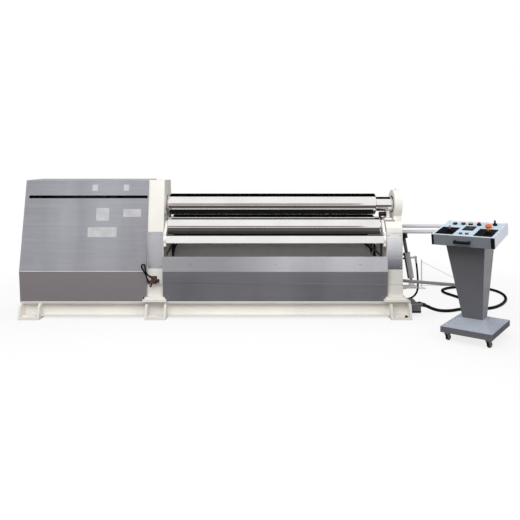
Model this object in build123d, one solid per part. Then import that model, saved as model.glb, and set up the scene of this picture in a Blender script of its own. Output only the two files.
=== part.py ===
from build123d import *
from math import cos, radians, sin, tan
import os

# Plate rolling machine with three rolls, a drop end and a wheeled control console.
# Millimetres. X runs along the rolls to the right, Y to the back, Z up from the floor.
# The origin is on the floor, in the middle of the four outer anchor holes, under the top roll.

# Fits
running_fit = 0.05
slide_fit = 0.1
loose_fit = 0.3

# Main lengths and heights
base_length = 3670.0
base_end = base_length / 2
cabinet_top_z = 1300.0
top_roll_drop = 237.0
top_roll_z = cabinet_top_z - top_roll_drop
roll_rise = 208.0
lower_roll_z = top_roll_z - roll_rise
left_outer = -644.0
upright_width = 150.0
left_inner = left_outer + upright_width
left_middle = left_outer + upright_width / 2
right_inset = 70.0
right_outer = base_end - right_inset
right_inner = right_outer - upright_width
right_middle = right_outer - upright_width / 2

# Base frame
deck_width = 546.0
deck_top = 163.0
deck_thickness = 8.0
beam_width = 120.0
beam_setback = 5.0
flange_thickness = 12.0
web_thickness = 10.0
cross_width = 80.0
cross_end = base_end - cross_width / 2
cross_places = (
    -cross_end,
    (left_middle - cross_end) / 2,
    left_middle,
    left_middle + (right_middle - left_middle) / 3,
    right_middle - (right_middle - left_middle) / 3,
    right_middle,
    cross_end,
)

# Feet
foot_thickness = 20.0
foot_length = 196.0
foot_reach = deck_width / 2 + 52.0
foot_inner = 150.0
foot_inset = 99.0
middle_foot_shift = 11.0
foot_places = (-base_end + foot_inset, left_middle + middle_foot_shift, base_end - foot_inset)
gusset_thickness = 20.0
anchor_hole = 24.0
anchor_y = deck_width / 2 + 24.0
screw_offset = 50.0
screw_diameter = 16.0
screw_head = 24.0
screw_head_height = 14.0

# Uprights
upright_foot_z = 205.0
shoulder_drop = 43.0
shoulder_z = lower_roll_z - shoulder_drop
upright_proud = 2.0
left_top_z = cabinet_top_z + upright_proud
right_top_drop = 148.0
right_top_z = top_roll_z - right_top_drop
right_front_drop = 215.0
right_front_z = top_roll_z - right_front_drop
right_step_y = 192.0
right_step_drop = 158.0
right_step_z = top_roll_z - right_step_drop
saddle_half_width = 60.0
saddle_drop = 77.0
saddle_z = top_roll_z - saddle_drop
saddle_inset = 42.0
saddle_left = right_inner + saddle_inset
saddle_width = 25.0
shoulder_inset = 23.0
shoulder_width = 72.0
shoulder_height = 26.0
half_depth_foot = 257.0
half_depth_shoulder = 241.0
half_depth_top = 170.0
sole_step_z = 186.0
sole_overhang = 36.0
sole_reach = 305.0
step_overhang = 20.0
step_reach = 285.0
side_plate = 5.0
recess_depth = 8.0
cover_thickness = 6.0
cover_room = 0.5
pocket_half_width = 38.0
pocket_bottom_drop = 375.0
pocket_bottom_z = lower_roll_z - pocket_bottom_drop
pocket_top_drop = 65.0
pocket_top_z = lower_roll_z - pocket_top_drop
pocket_inner_y = 105.0
left_cover_lap = 13.0
left_cover_z = (pocket_bottom_z - left_cover_lap, shoulder_z)
right_cover_lap = 22.0
right_cover_rise = -12.0
right_cover_z = (pocket_bottom_z - right_cover_lap, shoulder_z + right_cover_rise)

# Rolls
top_roll_radius = 104.0
top_roll_gap_left = 10.0
top_roll_left = left_inner + top_roll_gap_left
top_roll_gap_right = 65.0
top_roll_right = right_inner - top_roll_gap_right
top_journal_radius = 71.0
journal_proud = 6.0
drive_stub_radius = 45.0
drive_stub_reach = 146.0
drive_stub_end = left_outer - drive_stub_reach
housing_radius = 92.0
housing_flange_radius = 120.0
housing_flange = 12.0
lower_roll_radius = 94.0
lower_roll_y = 140.0
lower_roll_gap_left = 33.0
lower_roll_left = left_inner + lower_roll_gap_left
lower_roll_gap_right = 43.0
lower_roll_right = right_inner - lower_roll_gap_right
lower_journal_radius = 40.0
roll_chamfer = 4.0
lower_roll_rounding = 20.0

# Guides, bearing blocks and lift cylinders of the lower rolls
guide_lean = 8.0
lift_up = 55.0
lift_down = 25.0
guide_end_room = 3.0
block_half_width = 56.0
block_half_length = 60.0
block_setback = 2.0
left_block_outer = left_outer + block_setback
arm_thickness = 22.0
left_arm_gap = 6.0
left_arm_outer = left_inner + left_arm_gap
right_arm_gap = 33.0
right_arm_inner = right_inner - right_arm_gap
right_slot_depth = 90.0
right_slot_end = right_inner + right_slot_depth
right_block_outer = right_slot_end - cover_room
lift_rod_radius = 18.0
lift_rod_length = 180.0
barrel_radius = 34.0
barrel_top = 105.0
barrel_bottom = 330.0
left_cylinder_x = left_middle
right_cylinder_inset = 64.0
right_cylinder_x = right_inner + right_cylinder_inset
cylinder_foot_half = 24.0

# Torsion beam under each lower roll
beam_front = 265.0
beam_back = 205.0
torsion_drop = 147.0
torsion_low_z = lower_roll_z - torsion_drop
torsion_height = 68.0
torsion_high_z = torsion_low_z + torsion_height
arm_head_radius = 60.0
arm_foot_radius = 46.0
arm_plate_proud = 2.0
arm_plate_drop = 36.0
arm_plate_rise = 35.0
arm_plate_rounding = 12.0
link_radius = 11.0
link_drop = 152.0
link_setback = 20.0
link_inset = 15.0
link_ball = 15.0
brace_radius = 9.0
brace_drop = 123.0
left_brace_run = 70.0
right_brace_run = 150.0

# Drop end: yoke, bush, pivot and cylinder
yoke_inset = 106.0
yoke_inner = right_inner + yoke_inset
yoke_thickness = 72.0
yoke_radius = 141.0
yoke_half_width = 85.0
yoke_side_room = 1.0
bush_radius = 85.0
cone_lead = 2.0
cone_start = yoke_inner - cone_lead
cone_length = 67.0
cone_end = cone_start + cone_length
cone_big_radius = 62.0
cone_small_radius = 46.0
pivot_proud = 5.0
pivot_x = right_outer + pivot_proud
pivot_drop = 383.0
pivot_z = top_roll_z - pivot_drop
pivot_radius = 18.0
boss_radius = 40.0
ear_radius = 32.0
ear_gap = 3.0
ear_thickness = 40.0
yoke_pocket_drop = 80.0
yoke_pocket_bottom = pivot_z - yoke_pocket_drop
drop_pin_reach = 90.0
drop_pin_angle = 47.25
drop_pin_radius = 12.0
drop_lean = 9.75
drop_slot_travel = 18.6
drop_slot_room = 2.2
drop_foot_rise = 38.4
drop_barrel_radius = 31.0
drop_barrel_start = 45.0
drop_rod_out = 175.0
drop_rod_radius = 16.5
drop_eye_radius = 20.0
foot_pin_radius = 10.0
drop_eye_half = 14.0
rod_end_half_width = 34.0
rod_end_half_height = 24.0
rod_end_half = 15.0
rod_relief_depth = 14.0
lug_thickness = 16.0
lug_radius = 26.0
shelf_z = 250.0
shelf_thickness = 15.0
shelf_half_width = 45.0
shelf_reach = 200.0
shelf_end = right_outer + shelf_reach
port_drop = 51.0
port_reach = 53.0
elbow_radius = 12.0
hose_radius = 9.0
stub_y = -38.0
stub_drop = 95.0
stub_z = top_roll_z - stub_drop
collar_radius = 20.0
collar_length = 28.0
roller_radius = 22.0
roller_length = 43.0
pipe_radius = 11.0

# Cabinet and trough covers
cabinet_inset = 2.0
cabinet_left = -base_end + cabinet_inset
panel_thickness = 4.0
panel_foot_y = 273.0
panel_bend_y = 300.0
panel_bend_z = 445.0
cabinet_top_y = 190.0
cabinet_end_lean = 25.0
cabinet_rim = 120.0
lid_rise = 13.0
slot_drop = 145.0
slot_height = 27.0
slot_high_z = cabinet_top_z - slot_drop
slot_low_z = slot_high_z - slot_height
slot_margin_left = 55.0
slot_left = cabinet_left + slot_margin_left
slot_margin_right = 6.0
slot_right = left_outer - slot_margin_right
trough_gap = 125.0
trough_top_z = torsion_low_z - trough_gap
trough_top_y = 280.0
trough_lip = 22.0
rear_cover_rise = 77.0
cover_gap = 1.0

# Blank plates on the cabinet: left edge from the upright, width, top edge from the top, height
plate_places = (
    (488.0, 123.0, 262.0, 123.0),
    (233.0, 170.0, 272.0, 76.0),
    (563.0, 274.0, 442.0, 94.0),
    (533.0, 53.0, 41.0, 60.0),
    (236.0, 52.0, 41.0, 60.0),
)
plate_thickness = 1.5
head_radius = 6.0
head_height = 4.0
cover_head_inset = 16.0
cover_head_margin = 22.0
trough_head_inset = 260.0

# Drive and hydraulic unit
gearbox_radius = 140.0
gearbox_reach = 256.0
gearbox_end = left_outer - gearbox_reach
motor_radius = 78.0
motor_length = 190.0
motor_end = gearbox_end - motor_length
motor_port_start = 20.0
motor_port_end = 110.0
motor_port_half = 50.0
motor_port_height = 120.0
tank_inset = 63.0
tank_left = cabinet_left + tank_inset
tank_length = 770.0
tank_right = tank_left + tank_length
tank_half_width = 190.0
tank_height = 300.0
manifold_length = 170.0
manifold_inset = 60.0
manifold_half = 120.0
manifold_height = 130.0
pump_motor_radius = 100.0
pump_motor_rise = 18.0
pump_motor_inset = 80.0
pump_motor_left = tank_left + pump_motor_inset
pump_motor_length = 400.0
pump_motor_right = pump_motor_left + pump_motor_length
pump_saddle_inset = 60.0
pump_saddle_half = 25.0
pump_saddle_reach = 90.0
terminal_box = (140.0, 120.0, 50.0, 80.0, 60.0)
pump_radius = 60.0
pump_length = 50.0

# Guard rails, trip wire and its switch
rail_radius = 19.0
rail_y = 200.0
rail_drops = (295.0, 237.0)
rail_heights = [top_roll_z - drop for drop in rail_drops]
rail_length = 655.0
rail_end = right_outer + rail_length
rail_plate = 8.0
root_plate_half = 34.0
end_plate_half = 26.0
arm_radius = 15.0
wire_z = 322.0
arm_root_y = -75.0
arm_root = (right_outer, arm_root_y, wire_z)
arm_plate_half = 30.0
corner_reach = 598.0
corner_y = -346.0
wire_corner = (right_outer + corner_reach, corner_y, wire_z)
post_reach = 580.0
post_y = 1075.0
wire_post = (right_outer + post_reach, post_y, wire_z)
wire_radius = 1.5
eye_radius = 17.0
eye_neck_radius = 4.0
eye_neck_length = 40.0
post_radius = 8.0
post_height = 345.0
post_plate = 80.0
post_plate_thickness = 8.0
switch_inset = 64.0
switch_x = left_outer + switch_inset
switch_y = -306.0
switch_z = 362.0
knob_reach = 57.0
knob_end = switch_x + knob_reach
lead_radius = 7.0

# Connector and console cable
connector_y = -160.0
connector_half = 44.0
connector_low = 34.0
connector_high = 122.0
connector_reach = 116.0
connector_end = base_end + connector_reach
hood_half = 34.0
hood_height = 36.0
hood_reach = 84.0
hood_slope = 26.0
cable_radius = 15.5

# Console
console_reach = 448.0
console_x = right_outer + console_reach
console_y = -840.0
console_yaw = -38.3
console_base_width = 400.0
console_base_depth = 546.0
console_base_low = 70.0
console_base_high = 118.0
console_hip = 16.0
column_foot_width = 163.0
column_foot_depth = 137.0
column_foot_v = 128.0
column_head_width = 299.0
column_head_depth = 277.0
column_head_v = 10.0
column_head_z = 730.0
column_u = -45.0
box_width = 483.0
box_depth = 428.0
box_height = 87.0
box_u = -24.0
box_near_v = -272.0
box_near_z = 778.0
box_tilt = 11.0
box_wall = 3.0
panel_plate = 3.0
handle_left = -59.0
handle_right = 65.0
handle_low = 32.0
handle_high = 54.0
handle_reach = 42.0
handle_grip = 18.0
handle_post = 14.0
left_trim = 14.0
right_trim = 24.0
caster_inset = 40.0
rear_caster_inset = 80.0
caster_turn = -25.0
wheel_radius = 25.0
wheel_width = 18.0
caster_trail = 16.0
axle_radius = 4.0
fork_thickness = 3.0

# Console controls, as shares of the panel from its near left corner
left_stick = (0.262, 0.17)
right_stick = (0.875, 0.175)
stick_plates = ((0.04, 0.335, 0.04, 0.517), (0.668, 0.957, 0.04, 0.518))
display_place = (0.412, 0.575, 0.37, 0.622)
small_knobs = ((0.45, 0.115), (0.549, 0.122))
start_place = (0.186, 0.74)
stop_place = (0.322, 0.765)
lamp_places = ((0.445, 0.768), (0.59, 0.75))
selector_place = (0.836, 0.81)
emergency_place = (0.785, 0.585)
stick_drum = 14.0
stick_drum_half = 10.0
stick_radius = 5.0
stick_height = 46.0
stick_knob = 11.0
button_radius = 10.0
button_travel = 3.0
bezel_radius = 18.0
bezel_height = 12.0
emergency_radius = 27.0
emergency_collar = 8.0
emergency_cap = 18.0
selector_height = 30.0
lamp_height = 24.0
knob_radius = 13.0
knob_height = 10.0
emergency_travel = 5.0


# Basic shapes
def block(x0, x1, y0, y1, z0, z1):
    size = Box(x1 - x0, y1 - y0, z1 - z0)
    return Pos((x0 + x1) / 2, (y0 + y1) / 2, (z0 + z1) / 2) * size


def bar(start, end, radius):
    along = Vector(*end) - Vector(*start)
    plane = Plane(origin=start, z_dir=along)
    return plane * Cylinder(radius, along.length, align=(Align.CENTER, Align.CENTER, Align.MIN))


def cone_bar(start, end, radius, end_radius):
    along = Vector(*end) - Vector(*start)
    plane = Plane(origin=start, z_dir=along)
    return plane * Cone(radius, end_radius, along.length, align=(Align.CENTER, Align.CENTER, Align.MIN))


def prism(points, direction):
    way = Vector(*direction)
    face = make_face(Polyline(*points, close=True))
    return extrude(face, amount=way.length, dir=way.normalized())


def prism_x(outline, x0, x1):
    return prism([(x0, y, z) for y, z in outline], (x1 - x0, 0, 0))


def prism_y(outline, y0, y1):
    return prism([(x, y0, z) for x, z in outline], (0, y1 - y0, 0))


def roll_bar(x0, x1, y, z, radius):
    return bar((x0, y, z), (x1, y, z), radius)


def to_back(shape):
    return mirror(shape, about=Plane.XZ)


def save(name, *shapes):
    solids = [solid for shape in shapes for solid in shape.solids()]
    whole = solids[0] if len(solids) == 1 else Compound(children=solids)
    export_step(whole, f"parts/{name}.step")


# Base frame
beam_outer = deck_width / 2 - beam_setback
beam_inner = beam_outer - beam_width
beam_mid = beam_outer - beam_width / 2
beam_top = deck_top - deck_thickness
web_front = beam_mid + web_thickness / 2


def base_beam():
    low = foot_thickness
    whole = block(-base_end, base_end, -beam_outer, -beam_inner, low, beam_top)
    web_low = low + flange_thickness
    web_high = beam_top - flange_thickness
    for y0, y1 in ((-beam_outer - 1, -web_front), (-web_front + web_thickness, -beam_inner + 1)):
        whole -= block(-base_length, base_length, y0, y1, web_low, web_high)
    return whole


def base_frame():
    front = base_beam()
    deck = block(-base_end, base_end, -deck_width / 2, deck_width / 2, beam_top, deck_top)
    half = cross_width / 2
    members = [
        block(x - half, x + half, -beam_inner, beam_inner, foot_thickness, beam_top) for x in cross_places
    ]
    save("base_frame", front, to_back(front), deck, *members)


def foot(x):
    half = foot_length / 2
    whole = block(x - half, x + half, -foot_reach, -foot_inner, 0, foot_thickness)
    web_low = foot_thickness + flange_thickness
    web_high = beam_top - flange_thickness
    outline = [
        (-web_front, web_low),
        (-web_front, web_high),
        (-beam_outer, web_high),
        (-beam_outer - 32, web_high - 20),
        (-foot_reach + 6, foot_thickness + 12),
        (-foot_reach + 6, foot_thickness),
        (-beam_outer, foot_thickness),
        (-beam_outer, web_low),
    ]
    for x0 in (x - half, x + half - gusset_thickness):
        whole += prism_x(outline, x0, x0 + gusset_thickness)
    for dx, diameter in ((0, anchor_hole), (screw_offset, screw_diameter + 2 * slide_fit)):
        whole -= bar((x + dx, -anchor_y, -1), (x + dx, -anchor_y, foot_thickness + 1), diameter / 2)
    return whole


def levelling_screw(x):
    centre = (x + screw_offset, -anchor_y)
    shank = bar((*centre, 0), (*centre, foot_thickness), screw_diameter / 2)
    head = Pos(*centre, foot_thickness) * extrude(
        RegularPolygon(screw_head / 2, 6, major_radius=False), screw_head_height
    )
    return shank + head


def base_feet():
    front = [foot(x) for x in foot_places]
    save("base_feet", *front, *[to_back(f) for f in front])
    screws = [levelling_screw(x) for x in foot_places]
    save("levelling_screws", *screws, *[to_back(s) for s in screws])


# Uprights
def half_depth(z):
    if z <= shoulder_z:
        share = (z - upright_foot_z) / (shoulder_z - upright_foot_z)
        return half_depth_foot + share * (half_depth_shoulder - half_depth_foot)
    share = (z - shoulder_z) / (left_top_z - shoulder_z)
    return half_depth_shoulder + share * (half_depth_top - half_depth_shoulder)


def guide_point(s, n):
    lean = radians(guide_lean)
    y = -lower_roll_y + s * sin(lean) + n * cos(lean)
    z = lower_roll_z + s * cos(lean) - n * sin(lean)
    return y, z


def guide_outline(low, high, half):
    corners = ((low, -half), (low, half), (high, half), (high, -half))
    return [guide_point(s, n) for s, n in corners]


def both_sides(front):
    return front + [(-y, z) for y, z in reversed(front)]


def left_outline():
    return both_sides([(-half_depth(z), z) for z in (upright_foot_z, shoulder_z, left_top_z)])


def right_outline():
    front = [(-half_depth(z), z) for z in (upright_foot_z, shoulder_z, right_front_z)]
    return both_sides(front + [(-right_step_y, right_step_z), (-right_step_y / 2, right_top_z)])


def recess_outline(depth, low, high, outside):
    return [
        (-half_depth(low) - outside, low),
        (-half_depth(low) + depth, low),
        (-half_depth(high) + depth, high),
        (-half_depth(high) - outside, high),
    ]


def upright_body(x0, x1, outline, cover_z, cylinder_x):
    whole = prism_x(outline, x0, x1)
    whole += block(
        x0 - step_overhang, x1 + step_overhang, -step_reach, step_reach, sole_step_z, upright_foot_z
    )
    whole += block(x0 - sole_overhang, x1 + sole_overhang, -sole_reach, sole_reach, deck_top, sole_step_z)
    recess = prism_x(recess_outline(recess_depth, *cover_z, 30), x0 + side_plate, x1 - side_plate)
    pocket = block(
        cylinder_x - pocket_half_width,
        cylinder_x + pocket_half_width,
        -half_depth_foot,
        -pocket_inner_y,
        pocket_bottom_z,
        pocket_top_z,
    )
    for cut in (recess, pocket):
        whole -= cut
        whole -= to_back(cut)
    return whole


slot_low = -(block_half_length + lift_down + guide_end_room)
slot_high = block_half_length + lift_up + guide_end_room


def left_upright():
    whole = upright_body(left_outer, left_inner, left_outline(), left_cover_z, left_cylinder_x)
    outline = guide_outline(slot_low, slot_high, block_half_width + slide_fit)
    slot = prism_x(outline, left_outer - 1, left_inner + 1)
    whole -= slot
    whole -= to_back(slot)
    whole -= roll_bar(left_outer - 1, left_inner + 1, 0, top_roll_z, housing_radius)
    save("left_upright", whole)


ear_inner = yoke_half_width + ear_gap
ear_outer = ear_inner + ear_thickness


def right_upright():
    whole = upright_body(right_inner, right_outer, right_outline(), right_cover_z, right_cylinder_x)
    half = saddle_half_width
    whole += block(saddle_left, saddle_left + saddle_width, -half, half, right_step_z, saddle_z)
    foot_left = right_inner + shoulder_inset
    foot_right = foot_left + shoulder_width
    whole += block(foot_left, foot_right, -half, half, right_step_z, right_step_z + shoulder_height)
    outline = guide_outline(slot_low, slot_high, block_half_width + slide_fit)
    slot = prism_x(outline, right_inner - 1, right_slot_end)
    whole -= slot
    whole -= to_back(slot)
    neck_room = yoke_half_width + yoke_side_room
    neck_x = yoke_inner - yoke_side_room
    whole -= block(neck_x, right_outer + 1, -neck_room, neck_room, yoke_pocket_bottom, right_top_z + 1)
    ear_low = pivot_z - ear_radius
    ear = block(right_outer - 20, pivot_x, -ear_outer, -ear_inner, ear_low, ear_low + 2 * ear_radius)
    ear += bar((pivot_x, -ear_outer, pivot_z), (pivot_x, -ear_inner, pivot_z), ear_radius)
    whole += ear
    whole += to_back(ear)
    hole = pivot_radius + running_fit
    whole -= bar((pivot_x, -ear_outer - 1, pivot_z), (pivot_x, ear_outer + 1, pivot_z), hole)
    way_in = half_depth(pivot_z) + 20
    whole -= bar((pivot_x, ear_outer, pivot_z), (pivot_x, way_in, pivot_z), pivot_radius + 1)
    save("right_upright", whole)


def cover_face(cover_z, z):
    low, high = cover_z
    share = (z - low) / (high - low)
    depth = half_depth(low) + share * (half_depth(high) - half_depth(low))
    return -depth + recess_depth - cover_thickness


def upright_cover(x0, x1, cover_z):
    room = cover_room
    low = cover_z[0] + room
    high = cover_z[1] - room
    back = recess_depth
    front = recess_depth - cover_thickness
    outline = [
        (-half_depth(low) + front, low),
        (-half_depth(low) + back, low),
        (-half_depth(high) + back, high),
        (-half_depth(high) + front, high),
    ]
    return prism_x(outline, x0 + side_plate + room, x1 - side_plate - room)


def upright_covers():
    left = upright_cover(left_outer, left_inner, left_cover_z)
    right = upright_cover(right_inner, right_outer, right_cover_z)
    save("upright_covers", left, to_back(left), right, to_back(right))


# Cabinet
def panel_y(z):
    if z <= panel_bend_z:
        share = (z - deck_top) / (panel_bend_z - deck_top)
        return panel_foot_y + share * (panel_bend_y - panel_foot_y)
    share = (z - panel_bend_z) / (cabinet_top_z - panel_bend_z)
    return panel_bend_y + share * (cabinet_top_y - panel_bend_y)


def panel_outline(heights, inset):
    outer = [(-panel_y(z), z) for z in heights]
    inner = [(-panel_y(z) + inset, z) for z in reversed(heights)]
    return outer + inner


def sole_notch():
    room = cover_gap
    x0 = left_outer - sole_overhang - room
    return block(x0, left_outer + 10, -sole_reach - room, -100, deck_top - 1, upright_foot_z + room)


def cabinet_panel(rise):
    heights = (deck_top, panel_bend_z, cabinet_top_z + rise - panel_thickness)
    whole = prism_x(panel_outline(heights, panel_thickness), cabinet_left, left_outer)
    rim = [(-panel_y(z), z) for z in heights]
    rim += [(-cabinet_rim, heights[2]), (-cabinet_rim, heights[0])]
    whole += prism_x(rim, left_outer - panel_thickness, left_outer)
    return whole - sole_notch()


def front_panel_slot():
    radius = (slot_high_z - slot_low_z) / 2
    mid = (slot_high_z + slot_low_z) / 2
    cut = block(slot_left + radius, slot_right, -panel_bend_y, -100, slot_low_z, slot_high_z)
    return cut + bar((slot_left + radius, -panel_bend_y, mid), (slot_left + radius, -100, mid), radius)


def cabinet_end_x(z):
    share = max(0.0, (z - panel_bend_z) / (cabinet_top_z - panel_bend_z))
    return cabinet_left + share * cabinet_end_lean


def beyond_cabinet_end():
    lid_back_z = cabinet_top_z + lid_rise
    outline = [(cabinet_end_x(z), z) for z in (deck_top, panel_bend_z, lid_back_z)]
    outline += [(cabinet_left - 50, lid_back_z), (cabinet_left - 50, deck_top)]
    return prism_y(outline, -foot_reach, foot_reach)


def cabinet():
    outside = beyond_cabinet_end()
    save("cabinet_front_panel", cabinet_panel(0.0) - outside - front_panel_slot())
    front_top = cabinet_top_z - panel_thickness
    back_top = front_top + lid_rise
    back_y = panel_y(back_top + panel_thickness)
    lid = [
        (-cabinet_top_y, front_top),
        (-cabinet_top_y, cabinet_top_z),
        (back_y, back_top + panel_thickness),
        (back_y, back_top),
    ]
    skirt = [(-cabinet_top_y, front_top), (back_y, back_top), (cabinet_rim, front_top)]
    top = prism_x(lid, cabinet_left, left_outer)
    top += prism_x(skirt, left_outer - panel_thickness, left_outer)
    save("cabinet_top_cover", top - outside)
    save("cabinet_rear_panel", to_back(cabinet_panel(lid_rise) - outside) - top)
    front_side = [(-panel_y(z) + panel_thickness, z) for z in (deck_top, panel_bend_z, front_top)]
    back_side = [(panel_y(z) - panel_thickness, z) for z in (back_top, panel_bend_z, deck_top)]
    inside = prism_x(front_side + back_side, cabinet_left, left_outer)
    heights = (deck_top, panel_bend_z, back_top)
    sheet = [(cabinet_end_x(z), z) for z in heights]
    sheet += [(x + panel_thickness, z) for x, z in reversed(sheet)]
    save("cabinet_end_panel", (prism_y(sheet, -panel_bend_y, panel_bend_y) & inside) - top)


# Trough covers
def trough_y(z):
    if z <= panel_bend_z:
        return panel_y(z)
    share = (z - panel_bend_z) / (trough_top_z - panel_bend_z)
    return panel_bend_y + share * (trough_top_y - panel_bend_y)


def trough_sheet(top):
    heights = (deck_top, panel_bend_z, trough_top_z)
    outer = [(-trough_y(z), z) for z in heights]
    inner = [(-trough_y(z) + panel_thickness, z) for z in reversed(heights[:2])]
    whole = prism_x(outer + top + inner, left_inner + cover_gap, right_inner - cover_gap)
    room = cover_gap
    for x0, x1 in (
        (left_inner - 10, left_inner + sole_overhang + room),
        (right_inner - sole_overhang - room, right_inner + 10),
    ):
        whole -= block(x0, x1, -sole_reach - room, -100, deck_top - 1, upright_foot_z + room)
    return whole


def trough_cover():
    low_lip = trough_top_z - panel_thickness
    lip = [
        (-trough_top_y + trough_lip, trough_top_z),
        (-trough_top_y + trough_lip, low_lip),
        (-trough_y(low_lip) + panel_thickness, low_lip),
    ]
    return trough_sheet(lip)


def rear_trough_cover():
    high = trough_top_z + rear_cover_rise
    wall = [
        (-trough_top_y, high),
        (-trough_top_y + panel_thickness, high),
        (-trough_top_y + panel_thickness, trough_top_z),
    ]
    return to_back(trough_sheet(wall))


def trough_covers():
    save("front_cover", trough_cover())
    save("rear_cover", rear_trough_cover())


# Screws of the covers, and blank plates on the cabinet
def face_plane(z):
    low = Vector(0, -panel_y(panel_bend_z), panel_bend_z)
    high = Vector(0, -panel_y(cabinet_top_z), cabinet_top_z)
    up = (high - low).normalized()
    normal = Vector(1, 0, 0).cross(up)
    return Plane(origin=(0, -panel_y(z), z), x_dir=(1, 0, 0), z_dir=normal)


def blank_plate(left, width, drop, height):
    middle = left_outer - left + width / 2
    return face_plane(cabinet_top_z - drop - height / 2) * Pos(middle, 0, 0) * Box(
        width, height, plate_thickness, align=(Align.CENTER, Align.CENTER, Align.MIN)
    )


def cover_screw(x, face, z):
    return bar((x, face + 1, z), (x, face - head_height, z), head_radius)


def panel_hardware():
    plates = [blank_plate(*place) for place in plate_places]
    heads = []
    sides = ((left_outer, left_inner, left_cover_z), (right_inner, right_outer, right_cover_z))
    for x0, x1, cover_z in sides:
        cover = upright_cover(x0, x1, cover_z)
        inset = side_plate + cover_head_inset
        for x in (x0 + inset, x1 - inset):
            for z in (cover_z[0] + cover_head_margin, cover_z[1] - cover_head_margin):
                heads.append(cover_screw(x, cover_face(cover_z, z), z) - cover)
    trough = trough_cover()
    middle = (left_inner + right_inner) / 2
    for x in (left_inner + trough_head_inset, middle, right_inner - trough_head_inset):
        z = (panel_bend_z + trough_top_z) / 2
        heads.append(cover_screw(x, -trough_y(z), z) - trough)
    save("panel_hardware", *plates, *heads, *[to_back(head) for head in heads])


# Rolls
def top_roll():
    whole = roll_bar(top_roll_left, top_roll_right, 0, top_roll_z, top_roll_radius)
    rims = whole.edges().filter_by(GeomType.CIRCLE)
    whole = chamfer(rims, roll_chamfer)
    whole += roll_bar(left_outer - journal_proud, cone_start, 0, top_roll_z, top_journal_radius)
    whole += roll_bar(drive_stub_end, left_outer, 0, top_roll_z, drive_stub_radius)
    whole += cone_bar(
        (cone_start, 0, top_roll_z), (cone_end, 0, top_roll_z), cone_big_radius, cone_small_radius
    )
    save("top_roll", whole)


def top_roll_bearing():
    whole = roll_bar(left_outer, left_inner - 2, 0, top_roll_z, housing_radius - running_fit)
    whole += roll_bar(left_outer - housing_flange, left_outer, 0, top_roll_z, housing_flange_radius)
    whole -= roll_bar(left_outer - 50, left_inner + 1, 0, top_roll_z, top_journal_radius + running_fit)
    save("top_roll_bearing", whole)


def top_roll_drive():
    start = left_outer - housing_flange
    whole = roll_bar(gearbox_end, start, 0, top_roll_z, gearbox_radius)
    whole += roll_bar(motor_end, gearbox_end, 0, top_roll_z, motor_radius)
    whole += block(
        motor_end + motor_port_start,
        motor_end + motor_port_end,
        -motor_port_half,
        motor_port_half,
        top_roll_z,
        top_roll_z + motor_port_height,
    )
    whole -= roll_bar(drive_stub_end - 3, start + 1, 0, top_roll_z, drive_stub_radius + running_fit)
    save("top_roll_drive", whole)


def lower_roll():
    whole = roll_bar(lower_roll_left, lower_roll_right, -lower_roll_y, lower_roll_z, lower_roll_radius)
    whole = chamfer(whole.edges().filter_by(GeomType.CIRCLE).sort_by(Axis.X)[0], roll_chamfer)
    whole = fillet(whole.edges().filter_by(GeomType.CIRCLE).sort_by(Axis.X)[-1], lower_roll_rounding)
    journal = roll_bar(
        left_block_outer, right_block_outer, -lower_roll_y, lower_roll_z, lower_journal_radius
    )
    return whole + journal


def bearing_block(x0, x1):
    outline = guide_outline(-block_half_length, block_half_length, block_half_width)
    whole = prism_x(outline, x0, x1)
    return whole - roll_bar(
        x0 - 1, x1 + 1, -lower_roll_y, lower_roll_z, lower_journal_radius + running_fit
    )


def torsion_arm(x0):
    head = Vector(-lower_roll_y, lower_roll_z)
    mid_y = -(beam_front + beam_back) / 2
    foot_at = Vector(mid_y, (torsion_low_z + torsion_high_z) / 2)
    way = (foot_at - head).normalized()
    across = Vector(-way.Y, way.X)
    corners = [
        head + across * arm_head_radius,
        foot_at + across * arm_foot_radius,
        foot_at - across * arm_foot_radius,
        head - across * arm_head_radius,
    ]
    x1 = x0 + arm_thickness
    whole = prism_x([(c.X, c.Y) for c in corners], x0, x1)
    whole += roll_bar(x0, x1, head.X, head.Y, arm_head_radius)
    whole += roll_bar(x0, x1, foot_at.X, foot_at.Y, arm_foot_radius)
    front = -beam_front - arm_plate_proud
    low = torsion_low_z - arm_plate_drop
    high = torsion_high_z + arm_plate_rise
    end_plate = block(x0, x1, front, -beam_back, low, high)
    corners = end_plate.edges().filter_by(Axis.X).sort_by(Axis.Y)[:2]
    whole += fillet(corners, arm_plate_rounding)
    return whole - roll_bar(x0 - 1, x1 + 1, head.X, head.Y, lower_journal_radius + 4)


def beam_link(x, run):
    y = -beam_back - link_setback
    knee = (x, y, torsion_low_z - brace_drop)
    whole = bar((x, y, torsion_low_z - link_drop), (x, y, torsion_low_z + 1), link_radius)
    whole += bar(knee, (x + run, y, torsion_low_z + 6), brace_radius)
    return whole + Pos(*knee) * Sphere(link_ball)


def torsion_beam():
    left_end = left_arm_outer + arm_thickness
    whole = block(left_end, right_arm_inner, -beam_front, -beam_back, torsion_low_z, torsion_high_z)
    whole += torsion_arm(left_arm_outer) + torsion_arm(right_arm_inner)
    whole += beam_link(left_arm_outer + link_inset, left_brace_run)
    return whole + beam_link(right_arm_inner - link_inset, -right_brace_run)


def guide_bar(x, low, high, radius):
    return bar((x, *guide_point(low, 0)), (x, *guide_point(high, 0)), radius)


def lift_rod(x):
    return guide_bar(x, -block_half_length - lift_rod_length, -block_half_length, lift_rod_radius)


def lift_cylinder(x):
    whole = guide_bar(x, -barrel_bottom, -barrel_top, barrel_radius)
    y, z = guide_point(-barrel_bottom, 0)
    half = cylinder_foot_half
    whole += block(x - half, x + half, y - half, y + half, pocket_bottom_z, z + 10)
    return whole - guide_bar(x, -barrel_bottom + 20, -barrel_top + 1, lift_rod_radius + loose_fit)


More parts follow.
